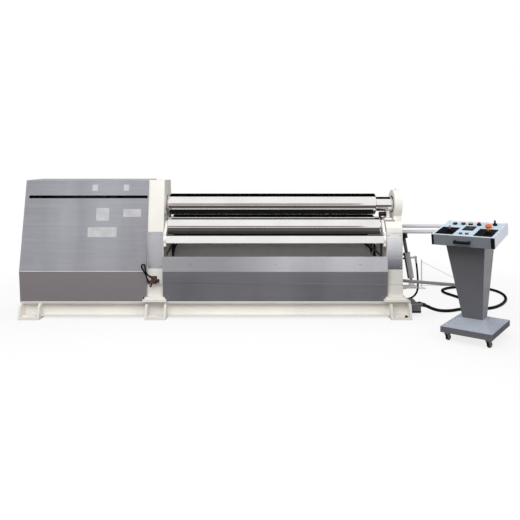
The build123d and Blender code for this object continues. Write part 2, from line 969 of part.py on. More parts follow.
def lower_rolls():
    roll = lower_roll()
    blocks = [
        bearing_block(left_block_outer, left_arm_outer),
        bearing_block(right_arm_inner + arm_thickness, right_block_outer),
    ]
    beam = torsion_beam()
    rods = [lift_rod(x) for x in (left_cylinder_x, right_cylinder_x)]
    barrels = [lift_cylinder(x) for x in (left_cylinder_x, right_cylinder_x)]
    save("front_roll", roll)
    save("front_bearing_blocks", *blocks)
    save("front_torsion_beam", beam)
    save("front_lift_rods", *rods)
    save("rear_roll", to_back(roll))
    save("rear_bearing_blocks", *[to_back(b) for b in blocks])
    save("rear_torsion_beam", to_back(beam))
    save("rear_lift_rods", *[to_back(r) for r in rods])
    save("lift_cylinders", *barrels, *[to_back(b) for b in barrels])


# Drop end
yoke_outer = yoke_inner + yoke_thickness
drop_along = Vector(-sin(radians(drop_lean)), 0, cos(radians(drop_lean)))
drop_across = Vector(cos(radians(drop_lean)), 0, sin(radians(drop_lean)))
pin_angle = radians(drop_pin_angle)
drop_pin = Vector(pivot_x + drop_pin_reach * cos(pin_angle), 0, pivot_z + drop_pin_reach * sin(pin_angle))
rod_end_centre = drop_pin + drop_across * (drop_slot_travel / 2)
drop_length = (rod_end_centre.Z - shelf_z - drop_foot_rise) / cos(radians(drop_lean))
drop_barrel_end = drop_length - drop_rod_out
drop_foot = rod_end_centre - drop_along * drop_length


def drop_point(along, across=0.0):
    return drop_foot + drop_along * along + drop_across * across


def drop_plane(along):
    return Plane(origin=drop_point(along), x_dir=drop_across, z_dir=drop_along)


def yoke_lug(y0, y1):
    outline = [
        (yoke_outer - 10, pivot_z + 20),
        (drop_pin.X + 6, drop_pin.Z - lug_radius + 1),
        (drop_pin.X + 6, drop_pin.Z + lug_radius - 1),
        (yoke_outer - 10, drop_pin.Z + 80),
    ]
    whole = prism_y(outline, y0, y1)
    return whole + bar((drop_pin.X, y0, drop_pin.Z), (drop_pin.X, y1, drop_pin.Z), lug_radius)


def drop_end_yoke():
    whole = roll_bar(yoke_inner, yoke_outer, 0, top_roll_z, yoke_radius)
    half = yoke_half_width
    whole += block(yoke_inner, yoke_outer, -half, half, pivot_z + boss_radius, top_roll_z)
    heel = [
        (yoke_inner, pivot_z + boss_radius),
        (yoke_inner, pivot_z + 14),
        (pivot_x - 28, pivot_z - 28),
        (pivot_x + 28, pivot_z - 28),
        (pivot_x + boss_radius, pivot_z),
        (yoke_outer, pivot_z + boss_radius),
    ]
    whole += prism_y(heel, -yoke_half_width, yoke_half_width)
    whole += bar((pivot_x, -yoke_half_width, pivot_z), (pivot_x, yoke_half_width, pivot_z), boss_radius)
    inner = rod_end_half + 2
    relief_x = yoke_outer - rod_relief_depth
    whole -= block(relief_x, yoke_outer + 40, -inner, inner, pivot_z + 28, pivot_z + 105)
    for y0, y1 in ((-inner - lug_thickness, -inner), (inner, inner + lug_thickness)):
        whole += yoke_lug(y0, y1)
    reach = inner + lug_thickness + 4
    whole += bar((drop_pin.X, -reach, drop_pin.Z), (drop_pin.X, reach, drop_pin.Z), drop_pin_radius)
    whole -= roll_bar(yoke_inner - 1, yoke_outer + 1, 0, top_roll_z, bush_radius + running_fit)
    hole = pivot_radius + running_fit
    whole -= bar((pivot_x, -yoke_half_width - 1, pivot_z), (pivot_x, yoke_half_width + 1, pivot_z), hole)
    save("drop_end_yoke", whole)


def yoke_bush():
    whole = roll_bar(yoke_inner, yoke_outer, 0, top_roll_z, bush_radius)
    slope = (cone_small_radius - cone_big_radius) / (cone_end - cone_start)
    big = cone_big_radius + loose_fit + slope * (yoke_inner - 1 - cone_start)
    small = cone_big_radius + loose_fit + slope * (yoke_outer + 1 - cone_start)
    whole -= cone_bar((yoke_inner - 1, 0, top_roll_z), (yoke_outer + 1, 0, top_roll_z), big, small)
    save("yoke_bush", whole)


def support_stub():
    collar_left = saddle_left - collar_length
    roller_left = collar_left - roller_length
    whole = roll_bar(collar_left, saddle_left, stub_y, stub_z, collar_radius)
    whole += roll_bar(roller_left, collar_left, stub_y, stub_z, roller_radius)
    rims = whole.edges().filter_by(GeomType.CIRCLE).sort_by(Axis.X)
    whole = fillet([rims[0], rims[-1]], 5)
    whole -= block(saddle_left, saddle_left + 20, -100, 100, saddle_z - 200, saddle_z + 100)
    pipe_y = stub_y - roller_radius + 9
    pipe = [
        (roller_left + 8, pipe_y, stub_z + 4),
        (roller_left + 8, pipe_y, stub_z - 28),
        (roller_left + 20, pipe_y, stub_z - 62),
        (right_inner - 2, pipe_y - 4, stub_z - 102),
        (right_inner + 12, pipe_y - 4, stub_z - 112),
    ]
    for start, end in zip(pipe, pipe[1:]):
        whole += bar(start, end, pipe_radius) + Pos(*end) * Sphere(pipe_radius)
    return whole - block(right_inner, right_outer, -100, 100, stub_z - 200, right_top_z)


def yoke_pivot_pin():
    pin = bar((pivot_x, -ear_outer, pivot_z), (pivot_x, ear_outer, pivot_z), pivot_radius)
    save("yoke_pivot_pin", pin, support_stub())


def drop_cylinder():
    x, z = drop_foot.X, drop_foot.Z
    eye = bar((x, -drop_eye_half, z), (x, drop_eye_half, z), drop_eye_radius)
    barrel = eye + bar(drop_point(0), drop_point(drop_barrel_start + 1), drop_eye_half)
    barrel += bar(drop_point(drop_barrel_start), drop_point(drop_barrel_end), drop_barrel_radius)
    barrel += bar(drop_point(drop_barrel_end - 12), drop_point(drop_barrel_end + 6), drop_barrel_radius + 4)
    barrel -= bar(
        drop_point(drop_barrel_start + 20), drop_point(drop_barrel_end + 10), drop_rod_radius + loose_fit
    )
    eye_end = drop_eye_half + 1
    eye_hole = foot_pin_radius + running_fit
    barrel -= bar((x, -eye_end, z), (x, eye_end, z), eye_hole)
    port = drop_barrel_end - port_drop
    barrel += bar(drop_point(port, drop_barrel_radius - 4), hose_elbow, elbow_radius - 3)
    barrel += Pos(*hose_elbow) * Sphere(elbow_radius)
    barrel += gland(hose_points[0], hose_points[1], 24, hose_radius + 2.5)
    for along in (drop_barrel_end - 8, drop_barrel_end - 46):
        knob = drop_point(along, -drop_barrel_radius + 4)
        barrel += bar(knob, knob - drop_across * 17, 9)
    save("drop_cylinder_barrel", barrel)
    stroke_start = drop_barrel_end - 45
    rod = bar(drop_point(stroke_start), drop_point(drop_length - rod_end_half_height + 1), drop_rod_radius)
    end_plane = drop_plane(drop_length)
    end = end_plane * Box(2 * rod_end_half_width, 2 * rod_end_half, 2 * rod_end_half_height)
    slot_half = drop_pin_radius + drop_slot_room
    slot = end_plane * Box(drop_slot_travel, 2 * rod_end_half + 2, 2 * slot_half)
    for side in (-0.5, 0.5):
        middle = drop_point(drop_length, side * drop_slot_travel)
        half = rod_end_half + 1
        slot += bar((middle.X, -half, middle.Z), (middle.X, half, middle.Z), slot_half)
    save("drop_cylinder_rod", rod + end - slot)


def drop_cylinder_bracket():
    whole = block(
        right_outer, shelf_end, -shelf_half_width, shelf_half_width, shelf_z - shelf_thickness, shelf_z
    )
    web = [
        (right_outer, shelf_z - shelf_thickness),
        (shelf_end - 40, shelf_z - shelf_thickness),
        (right_outer, upright_foot_z + 1),
    ]
    whole += prism_y(web, -6, 6)
    inner = drop_eye_half + 1
    for y0, y1 in ((-inner - 12, -inner), (inner, inner + 12)):
        whole += block(drop_foot.X - 22, drop_foot.X + 22, y0, y1, shelf_z, drop_foot.Z)
        whole += bar((drop_foot.X, y0, drop_foot.Z), (drop_foot.X, y1, drop_foot.Z), 22)
    reach = inner + 16
    whole += bar((drop_foot.X, -reach, drop_foot.Z), (drop_foot.X, reach, drop_foot.Z), foot_pin_radius)
    save("drop_cylinder_bracket", whole)


# Cords: straight runs joined by the largest arcs that they allow
def cord_route(points):
    spots = [Vector(*p) for p in points]
    radii = []
    for before, here, after in zip(spots, spots[1:], spots[2:]):
        turn = (here - before).get_angle(after - here)
        shorter = min((here - before).length, (after - here).length)
        radii.append(0.45 * shorter / tan(radians(turn / 2)))
    return FilletPolyline(*spots, radius=radii)


def cord(points, radius, name):
    route = cord_route(points)
    start = Plane(origin=route @ 0, z_dir=route % 0)
    tube = sweep(start * Circle(radius), path=route)
    bends = [round(edge.radius) for edge in route.edges().filter_by(GeomType.CIRCLE)]
    share = tube.volume / (Circle(radius).area * route.length)
    print(name, "length", round(route.length), "bends", bends, "volume share", round(share, 5))
    save(name, tube)


def gland(end, inside, length, radius):
    way = (Vector(*end) - Vector(*inside)).normalized()
    return bar(end, Vector(*end) + way * length, radius)


# The hose leaves the cylinder's port elbow and enters the end of the base.
# Its rows are the reach beyond the upright, Y, and the share of the way up to the elbow.
hose_low_z = 119.0
hose_start_drop = 24.7
hose_elbow = drop_point(drop_barrel_end - port_drop, drop_barrel_radius + port_reach)
hose_rise = hose_elbow.Z - hose_start_drop - hose_low_z
hose_rows = (
    (196.0, 0.0, 1.0),
    (204.0, 0.0, 0.86),
    (211.0, 0.0, 0.68),
    (217.0, 0.0, 0.47),
    (215.0, 0.0, 0.221),
    (185.0, 0.0, 0.089),
    (133.0, 0.0, 0.0127),
    (83.0, 0.0, 0.0),
)
hose_points = [(right_outer + x, y, hose_low_z + share * hose_rise) for x, y, share in hose_rows]

# The switch lead, from the left upright; X is counted from the upright's outer face
lead_rows = (
    (14.0, -277.0, 352.0),
    (12.0, -289.0, 363.0),
    (9.0, -305.0, 385.0),
    (4.0, -317.0, 411.0),
    (-6.0, -323.0, 437.0),
    (-20.0, -326.0, 459.0),
    (-32.0, -329.0, 479.0),
    (-38.0, -333.0, 498.0),
    (-33.0, -337.0, 515.0),
    (-18.0, -341.0, 522.0),
    (-3.0, -345.0, 513.0),
    (-1.0, -348.0, 491.0),
    (3.0, -351.0, 463.0),
    (13.0, -350.0, 438.0),
    (30.0, -342.0, 417.0),
    (51.0, -328.0, 401.0),
)
lead_points = [(left_outer + x, y, z) for x, y, z in lead_rows]

# The console cable; X is counted from the end of the base, and it passes over itself near its end
cable_rows = (
    (134.0, -158.0, 108.0),
    (182.0, -142.0, 92.0),
    (256.0, -110.0, 52.0),
    (344.0, -76.0, 24.0),
    (460.0, -44.0, 16.0),
    (584.0, 30.0, 16.0),
    (722.0, 46.0, 16.0),
    (856.0, 38.0, 16.0),
    (992.0, 122.0, 16.0),
    (1136.0, 290.0, 16.0),
    (1240.0, 470.0, 16.0),
    (1300.0, 650.0, 16.0),
    (1314.0, 815.0, 16.0),
    (1270.0, 964.0, 16.0),
    (1155.0, 1064.0, 16.0),
    (1015.0, 1090.0, 16.0),
    (881.0, 1056.0, 16.0),
    (769.0, 994.0, 16.0),
    (687.0, 892.0, 16.0),
    (671.0, 774.0, 16.0),
    (707.0, 660.0, 16.0),
    (749.0, 546.0, 16.0),
    (768.0, 420.0, 16.0),
    (771.0, 310.0, 29.0),
    (765.0, 208.0, 62.0),
    (751.0, 124.0, 80.0),
    (733.0, -14.0, 80.0),
    (717.0, -100.0, 62.0),
    (696.0, -196.0, 29.0),
    (664.0, -300.0, 16.0),
    (609.0, -408.0, 28.0),
    (571.0, -486.0, 64.0),
    (541.0, -546.0, 88.0),
    (515.0, -590.0, 92.0),
)
cable_points = [(base_end + x, y, z) for x, y, z in cable_rows]


# Guard rails, trip wire and switch
def guard_rails():
    low, high = rail_heights
    half = root_plate_half
    root = right_outer
    whole = block(root, root + rail_plate, rail_y - half, rail_y + half, low - half, high + half)
    for z in rail_heights:
        whole += bar((root, rail_y, z), (rail_end, rail_y, z), rail_radius)
    half = end_plate_half
    whole += block(rail_end - rail_plate, rail_end, rail_y - half, rail_y + half, low - half, high + half)
    save("guard_rails", whole)


def trip_wire_supports():
    root = Vector(*arm_root)
    corner = Vector(*wire_corner)
    way = (corner - root).normalized()
    arm_end = corner - way * eye_neck_length
    arm = bar(root - way * 20, arm_end, arm_radius) + bar(arm_end, corner, eye_neck_radius)
    arm += Pos(*wire_corner) * Sphere(eye_radius)
    half = arm_plate_half
    arm += block(root.X, root.X + rail_plate, root.Y - half, root.Y + half, root.Z - half, root.Z + half)
    arm -= Pos(root.X, root.Y, root.Z) * Box(
        4 * half, 4 * half, 2 * half, align=(Align.MAX, Align.CENTER, Align.CENTER)
    )
    x, y, z = wire_post
    half = post_plate / 2
    post = block(x - half, x + half, y - half, y + half, 0, post_plate_thickness)
    post += bar((x, y, 0), (x, y, post_height), post_radius)
    save("trip_wire_supports", arm, post)


def trip_wire():
    start = Vector(knob_end, switch_y, switch_z)
    corner = Vector(*wire_corner)
    post = Vector(*wire_post)
    front = (corner - start).normalized()
    side = (post - corner).normalized()
    reach = eye_radius + slide_fit
    runs = [
        bar(start + front * slide_fit, corner - front * reach, wire_radius),
        bar(corner + side * reach, post - side * (post_radius + slide_fit), wire_radius),
    ]
    save("trip_wire", *runs)


def trip_switch():
    face = -half_depth(switch_z)
    whole = block(switch_x - 26, switch_x + 26, face - 8, face, switch_z - 36, switch_z + 36)
    body = Pos(switch_x, switch_y, switch_z) * Rot(0, 45, 0) * Box(40, 34, 56)
    whole += body
    whole += block(switch_x - 16, switch_x + 16, switch_y, face - 4, switch_z - 16, switch_z + 16)
    whole += bar((switch_x, switch_y, switch_z), (knob_end, switch_y, switch_z), 9)
    whole += bar((knob_end - 26, switch_y, switch_z), (knob_end, switch_y, switch_z), 17)
    whole += bar((switch_x, switch_y, switch_z), (switch_x - 26, switch_y, switch_z - 58), 9)
    whole += gland(lead_points[-1], lead_points[-2], 34, lead_radius + 3)
    whole -= prism_x(left_outline(), left_outer, left_inner)
    entry = gland(lead_points[0], lead_points[1], 44, lead_radius + 3)
    entry -= prism_x(left_outline(), left_outer, left_inner)
    entry -= block(left_outer - 60, left_outer, -panel_bend_y, 0, 0, panel_bend_z)
    save("trip_switch", whole, entry)


# Connector at the right end of the base
def base_connector():
    end = base_end
    half = connector_half
    top = connector_high
    whole = block(end, connector_end, connector_y - half, connector_y + half, connector_low, top)
    hood = [
        (end, top),
        (end + hood_reach, top),
        (end + hood_reach - hood_slope, top + hood_height),
        (end, top + hood_height),
    ]
    whole += prism_y(hood, connector_y - hood_half, connector_y + hood_half)
    whole += gland(cable_points[0], cable_points[1], 30, cable_radius + 6)
    fitting = gland(hose_points[-1], hose_points[-2], 40, 13)
    fitting -= block(0, end, -50, 50, 0, deck_top)
    save("base_connector", whole, fitting)


# Power unit inside the cabinet
def power_unit():
    top = deck_top + tank_height
    tank = block(tank_left, tank_right, -tank_half_width, tank_half_width, deck_top, top)
    end = tank_right - manifold_inset
    manifold = block(
        end - manifold_length, end, -manifold_half, manifold_half, top, top + manifold_height
    )
    save("oil_tank", tank + manifold)
    axis = top + pump_motor_radius + pump_motor_rise
    motor = roll_bar(pump_motor_left, pump_motor_right, 0, axis, pump_motor_radius)
    half = pump_saddle_half
    for x in (pump_motor_left + pump_saddle_inset, pump_motor_right - pump_saddle_inset):
        motor += block(x - half, x + half, -pump_saddle_reach, pump_saddle_reach, top, axis)
    start, length, half, low, height = terminal_box
    start += pump_motor_left
    motor += block(start, start + length, -half, half, axis + low, axis + low + height)
    motor += roll_bar(pump_motor_right, pump_motor_right + pump_length, 0, axis, pump_radius)
    save("pump_motor", motor)


# Console, in its own turned frame: u along its near edge, v to its back
console_plane = Plane(origin=(console_x, console_y, 0), x_dir=Vector(1, 0, 0).rotate(Axis.Z, console_yaw))
box_plane = console_plane * Pos(box_u, box_near_v, box_near_z) * Rot(box_tilt, 0, 0)


def console_place(shape):
    return console_plane * shape


def rectangle_at(u, v, width, depth, z):
    return Pos(u, v, z) * Rectangle(width, depth)


def column_section(z):
    share = (z - console_base_high - console_hip) / (column_head_z - console_base_high - console_hip)
    width = column_foot_width + share * (column_head_width - column_foot_width)
    depth = column_foot_depth + share * (column_head_depth - column_foot_depth)
    v = column_foot_v + share * (column_head_v - column_foot_v)
    return rectangle_at(column_u, v, width, depth, z)


def console_body():
    w = console_base_width
    d = console_base_depth
    base = Pos(0, 0, console_base_low) * Box(
        w, d, console_base_high - console_base_low, align=(Align.CENTER, Align.CENTER, Align.MIN)
    )
    hip_top = console_base_high + console_hip
    hip = loft(
        [
            rectangle_at(0, 0, w - 12, d - 12, console_base_high),
            rectangle_at(column_u, column_foot_v, column_foot_width + 40, column_foot_depth + 40, hip_top),
        ],
        ruled=True,
    )
    entry = gland(cable_points[-1], cable_points[-2], 40, cable_radius + 5)
    save("console_base", console_place(base + hip) + entry)
    column = console_place(loft([column_section(hip_top), column_section(box_near_z + 130)], ruled=True))
    reach = 2 * (box_width + box_depth)
    above = box_plane * Box(reach, reach, reach, align=(Align.CENTER, Align.CENTER, Align.MIN))
    save("console_column", column - above)
    outer = Box(box_width, box_depth, box_height, align=(Align.CENTER, Align.MIN, Align.MIN))
    inner = Pos(0, box_wall, box_wall) * Box(
        box_width - 2 * box_wall,
        box_depth - 2 * box_wall,
        box_height,
        align=(Align.CENTER, Align.MIN, Align.MIN),
    )
    save("console_box", box_plane * (outer - inner))


panel_top = box_height + panel_plate


def panel_spot(place):
    return (place[0] - 0.5) * box_width, place[1] * box_depth


def panel_bar(place, low, high, radius):
    u, v = panel_spot(place)
    return bar((u, v, low), (u, v, high), radius)


def drum_slot(place, high):
    u, v = panel_spot(place)
    half_u = stick_drum_half + loose_fit
    half_v = stick_drum + loose_fit
    return block(u - half_u, u + half_u, v - half_v, v + half_v, 0, high)


def plate_at(u0, u1, v0, v1, low, high):
    return block((u0 - 0.5) * box_width, (u1 - 0.5) * box_width, v0 * box_depth, v1 * box_depth, low, high)


def console_panel():
    panel = Pos(0, 0, box_height) * Box(
        box_width, box_depth, panel_plate, align=(Align.CENTER, Align.MIN, Align.MIN)
    )
    for place in (left_stick, right_stick):
        panel -= drum_slot(place, panel_top + 1)
    for place in (start_place, stop_place, selector_place, emergency_place):
        panel -= panel_bar(place, 0, panel_top + 1, button_radius + 2)
    save("console_panel", box_plane * panel)


def ring(place, low, high, radius, hole):
    return panel_bar(place, low, high, radius) - panel_bar(place, low - 1, high + 1, hole)


def console_fittings():
    top = panel_top
    pieces = []
    for place, stick in zip(stick_plates, (left_stick, right_stick)):
        pieces.append(plate_at(*place, top, top + 2) - drum_slot(stick, top + 3))
    pieces.append(plate_at(*display_place, top, top + 5))
    for place in small_knobs:
        pieces.append(panel_bar(place, top, top + knob_height, knob_radius))
    for place in lamp_places:
        lamp = panel_bar(place, top, top + bezel_height, bezel_radius)
        pieces.append(lamp + panel_bar(place, top, top + lamp_height, button_radius + 2))
    for place in (start_place, stop_place, selector_place):
        pieces.append(ring(place, top, top + bezel_height, bezel_radius, button_radius + 0.4))
    high = top + emergency_collar
    pieces.append(ring(emergency_place, top, high, emergency_radius - 2, button_radius + 0.4))
    half = box_width / 2
    for u0, u1 in ((-half - 3, -half + left_trim), (half - right_trim, half + 3)):
        trim = block(u0, u1, -3, 10, 2, box_height - 2)
        pieces.append(trim - block(-half, half, 0, box_depth, -1, panel_top + 1))
    near = handle_grip - handle_reach
    handle = block(handle_left, handle_right, -handle_reach, near, handle_low, handle_high)
    handle = fillet(handle.edges().filter_by(Axis.X), 6)
    for u in (handle_left, handle_right - handle_post):
        handle += block(u, u + handle_post, near - 2, 0, handle_low + 3, handle_high - 3)
    pieces.append(handle)
    save("console_fittings", *[box_plane * p for p in pieces])


def joystick(place):
    u, v = panel_spot(place)
    drum = bar((u - stick_drum_half, v, panel_top), (u + stick_drum_half, v, panel_top), stick_drum)
    stick = bar((u, v, panel_top), (u, v, panel_top + stick_height), stick_radius)
    knob = Pos(u, v, panel_top + stick_height) * Sphere(stick_knob)
    return box_plane * (drum + stick + knob)


def push_button(place):
    low = panel_top - 8
    return box_plane * panel_bar(place, low, panel_top + bezel_height + button_travel + 2, button_radius)


def console_controls():
    save("joystick_left", joystick(left_stick))
    save("joystick_right", joystick(right_stick))
    save("start_button", push_button(start_place))
    save("stop_button", push_button(stop_place))
    selector = panel_bar(selector_place, panel_top - 8, panel_top + bezel_height + 8, button_radius)
    u, v = panel_spot(selector_place)
    high = panel_top + bezel_height
    selector += block(u - 5, u + 5, v - 11, v + 11, high + 2, high + selector_height)
    save("mode_selector", box_plane * selector)
    cap_low = panel_top + emergency_collar + emergency_travel + 2
    stop = panel_bar(emergency_place, panel_top - 10, cap_low + 4, button_radius)
    cap = panel_bar(emergency_place, cap_low, cap_low + emergency_cap, emergency_radius)
    cap = fillet(cap.edges().filter_by(GeomType.CIRCLE).sort_by(Axis.Z)[-1], 8)
    save("emergency_stop", box_plane * (stop + cap))


# Casters
def caster_centres():
    u = console_base_width / 2 - caster_inset
    rear_u = console_base_width / 2 - rear_caster_inset
    v = console_base_depth / 2 - caster_inset
    return {
        "front_left": (-u, -v),
        "front_right": (u, -v),
        "rear_left": (-rear_u, v),
        "rear_right": (rear_u, v),
    }


def caster_fork():
    inner = wheel_width / 2 + 2
    top = console_base_low
    whole = Pos(0, 0, top - 12) * Cylinder(17, 12, align=(Align.CENTER, Align.CENTER, Align.MIN))
    outer = inner + fork_thickness
    whole += block(-outer, outer, -18, caster_trail + 10, top - 16, top - 12)
    for u0, u1 in ((-inner - fork_thickness, -inner), (inner, inner + fork_thickness)):
        cheek = [
            (-14, top - 14),
            (caster_trail + 9, top - 14),
            (caster_trail + 9, wheel_radius - 9),
            (caster_trail - 9, wheel_radius - 9),
        ]
        whole += prism_x(cheek, u0, u1)
    half = inner + fork_thickness
    whole += bar((-half, caster_trail, wheel_radius), (half, caster_trail, wheel_radius), axle_radius)
    return whole


def caster_wheel():
    half = wheel_width / 2
    whole = bar((-half, caster_trail, wheel_radius), (half, caster_trail, wheel_radius), wheel_radius)
    rims = whole.edges().filter_by(GeomType.CIRCLE)
    whole = chamfer(rims, 3)
    end = half + 1
    hole = axle_radius + running_fit
    return whole - bar((-end, caster_trail, wheel_radius), (end, caster_trail, wheel_radius), hole)


def casters():
    fork = caster_fork()
    wheel = caster_wheel()
    for name, (u, v) in caster_centres().items():
        place = console_plane * Pos(u, v, 0) * Rot(0, 0, caster_turn)
        save(f"caster_fork_{name}", place * fork)
        save(f"caster_wheel_{name}", place * wheel)


os.makedirs("parts", exist_ok=True)
base_frame()
base_feet()
left_upright()
right_upright()
upright_covers()
cabinet()
trough_covers()
panel_hardware()
top_roll()
top_roll_bearing()
top_roll_drive()
lower_rolls()
drop_end_yoke()
yoke_bush()
yoke_pivot_pin()
drop_cylinder()
drop_cylinder_bracket()
cord(hose_points, hose_radius, "cylinder_hose")
guard_rails()
trip_wire_supports()
trip_wire()
trip_switch()
cord(lead_points, lead_radius, "trip_switch_lead")
base_connector()
cord(cable_points, cable_radius, "console_cable")
power_unit()
console_body()
console_panel()
console_fittings()
console_controls()
casters()
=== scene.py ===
from math import cos, pi, radians, sin

import bpy
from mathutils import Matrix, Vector


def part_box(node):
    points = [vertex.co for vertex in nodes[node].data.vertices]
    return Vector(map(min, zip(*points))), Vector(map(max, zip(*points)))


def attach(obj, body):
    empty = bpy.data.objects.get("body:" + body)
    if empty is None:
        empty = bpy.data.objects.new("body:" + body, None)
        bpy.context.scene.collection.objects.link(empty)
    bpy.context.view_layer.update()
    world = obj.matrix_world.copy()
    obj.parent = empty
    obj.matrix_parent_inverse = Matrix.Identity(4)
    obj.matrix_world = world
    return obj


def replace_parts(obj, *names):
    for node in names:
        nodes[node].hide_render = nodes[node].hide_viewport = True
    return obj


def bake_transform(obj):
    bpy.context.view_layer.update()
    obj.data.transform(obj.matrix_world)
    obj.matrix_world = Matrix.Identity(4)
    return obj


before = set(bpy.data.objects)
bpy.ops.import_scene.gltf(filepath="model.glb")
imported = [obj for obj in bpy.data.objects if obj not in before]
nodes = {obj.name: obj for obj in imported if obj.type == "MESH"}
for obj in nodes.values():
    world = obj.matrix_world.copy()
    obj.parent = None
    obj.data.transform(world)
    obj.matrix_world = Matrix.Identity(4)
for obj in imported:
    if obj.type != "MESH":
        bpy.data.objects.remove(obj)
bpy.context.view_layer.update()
scene = bpy.context.scene


# Materials
class Shader:
    """A material whose Principled shader is fed by small procedural textures in object space."""

    # Sockets of a Mix node that mixes colours
    mix_factor = 0
    mix_first = 6
    mix_second = 7
    mix_result = 2

    def __init__(self, name):
        self.material = bpy.data.materials.new(name)
        self.material.use_nodes = True
        self.tree = self.material.node_tree
        self.bsdf = self.tree.nodes["Principled BSDF"]
        self.coords = self.node("ShaderNodeTexCoord").outputs["Object"]

    def node(self, kind, **settings):
        made = self.tree.nodes.new(kind)
        for key, value in settings.items():
            setattr(made, key, value)
        return made

    def link(self, out, into):
        self.tree.links.new(out, into)

    def set(self, **values):
        for key, value in values.items():
            self.bsdf.inputs[key.replace("_", " ")].default_value = value

    def stretched(self, scale):
        mapping = self.node("ShaderNodeMapping")
        mapping.inputs["Scale"].default_value = scale
        self.link(self.coords, mapping.inputs["Vector"])
        return mapping.outputs["Vector"]

    def noise(self, scale, detail=3.0, roughness=0.5, stretch=(1, 1, 1)):
        texture = self.node("ShaderNodeTexNoise")
        texture.inputs["Scale"].default_value = scale
        texture.inputs["Detail"].default_value = detail
        texture.inputs["Roughness"].default_value = roughness
        self.link(self.stretched(stretch), texture.inputs["Vector"])
        return texture.outputs["Fac"]

    def along_axis(self, axis):
        split = self.node("ShaderNodeSeparateXYZ")
        self.link(self.coords, split.inputs[0])
        return split.outputs[axis]

    def between(self, factor, low=0.0, high=1.0, start=0.3, end=0.7):
        ramp = self.node("ShaderNodeMapRange")
        ramp.inputs["From Min"].default_value = start
        ramp.inputs["From Max"].default_value = end
        ramp.inputs["To Min"].default_value = low
        ramp.inputs["To Max"].default_value = high
        self.link(factor, ramp.inputs["Value"])
        return ramp.outputs["Result"]

    def mix(self, factor, first, second):
        mixer = self.node("ShaderNodeMix", data_type="RGBA")
        for number, value in ((self.mix_first, first), (self.mix_second, second)):
            if isinstance(value, bpy.types.NodeSocket):
                self.link(value, mixer.inputs[number])
            else:
                mixer.inputs[number].default_value = (*value, 1.0)
        self.link(factor, mixer.inputs[self.mix_factor])
        return mixer.outputs[self.mix_result]

    def edge_normal(self, radius):
        bevel = self.node("ShaderNodeBevel", samples=4)
        bevel.inputs["Radius"].default_value = radius
        return bevel.outputs["Normal"]

    def bump(self, height, distance, strength, normal):
        made = self.node("ShaderNodeBump")
        made.inputs["Distance"].default_value = distance
        made.inputs["Strength"].default_value = strength
        self.link(height, made.inputs["Height"])
        self.link(normal, made.inputs["Normal"])
        return made.outputs["Normal"]

    def colour(self, out):
        self.link(out, self.bsdf.inputs["Base Color"])

    def roughness(self, out):
        self.link(out, self.bsdf.inputs["Roughness"])

    def normal(self, out):
        self.link(out, self.bsdf.inputs["Normal"])


def shade(colour, factor):
    return tuple(min(1.0, c * factor) for c in colour)


def paint(name, colour, rough, peel=0.00012, edge=0.0025, gloss=0.5):
    """Sprayed enamel: a faint cloudy tone, orange peel and soft edges."""
    s = Shader(name)
    tone = s.between(s.noise(scale=2.3, detail=4.0))
    s.colour(s.mix(tone, shade(colour, 0.95), shade(colour, 1.05)))
    s.roughness(s.between(s.noise(scale=9.0, detail=5.0), low=rough - 0.05, high=rough + 0.06))
    grain = s.noise(scale=260.0, detail=2.0)
    s.normal(s.bump(grain, distance=peel, strength=0.6, normal=s.edge_normal(edge)))
    s.set(Specular_IOR_Level=gloss)
    return s.material


def brushed_sheet(name, colour, rough=0.36, metallic=0.7, other=None):
    """Satin sheet metal with fine level brush lines and streaks, and broad upright soft bands.

    Where other is given, it is a second colour, an axis, and the start and end of the stretch of
    that axis over which the second colour turns to the first."""
    streak_colour = (0.62, 0.61, 0.66)
    line_colour = (0.16, 0.16, 0.175)
    s = Shader(name)
    broad = s.noise(scale=1.0, detail=3.0, roughness=0.5, stretch=(2.6, 0.6, 0.6))
    bands = s.between(broad, start=0.35, end=0.65)
    finish = s.mix(bands, shade(colour, 0.86), shade(colour, 1.09))
    if other:
        second, axis, start, end = other
        finish = s.mix(s.between(s.along_axis(axis), start=start, end=end), second, finish)
    streaks = s.noise(scale=1.0, detail=4.0, roughness=0.65, stretch=(1.2, 1.2, 38.0))
    finish = s.mix(s.between(streaks, high=0.22, start=0.4, end=0.75), finish, streak_colour)
    lines = s.noise(scale=1.0, detail=3.0, roughness=0.6, stretch=(9.0, 9.0, 420.0))
    s.colour(s.mix(s.between(lines, high=0.16), finish, line_colour))
    s.roughness(s.between(lines, low=rough * 0.85, high=rough * 1.2))
    s.normal(s.bump(lines, distance=0.00002, strength=0.4, normal=s.edge_normal(0.003)))
    s.set(Metallic=metallic)
    return s.material


def turned_steel(name, colour, rough):
    """Ground or turned steel with fine rings round the X axis and faint smears."""
    s = Shader(name)
    smear = s.noise(scale=5.0, detail=4.0, stretch=(0.6, 2.0, 2.0))
    s.colour(s.mix(s.between(smear), shade(colour, 0.93), shade(colour, 1.05)))
    rings = s.noise(scale=1.0, detail=3.0, roughness=0.6, stretch=(900.0, 6.0, 6.0))
    s.roughness(s.between(rings, low=rough * 0.75, high=rough * 1.3))
    s.normal(s.bump(rings, distance=0.00002, strength=0.5, normal=s.edge_normal(0.0015)))
    s.set(Metallic=1.0)
    return s.material


def plain_metal(name, colour, rough, grain=120.0):
    """Machined, plated or cast metal with a fine grain."""
    s = Shader(name)
    fine = s.noise(scale=grain, detail=4.0, roughness=0.6)
    tone = s.between(s.noise(scale=14.0, detail=3.0))
    s.colour(s.mix(tone, shade(colour, 0.88), shade(colour, 1.08)))
    s.roughness(s.between(fine, low=rough * 0.8, high=rough * 1.25))
    s.normal(s.bump(fine, distance=0.00008, strength=0.5, normal=s.edge_normal(0.0012)))
    s.set(Metallic=1.0)
    return s.material


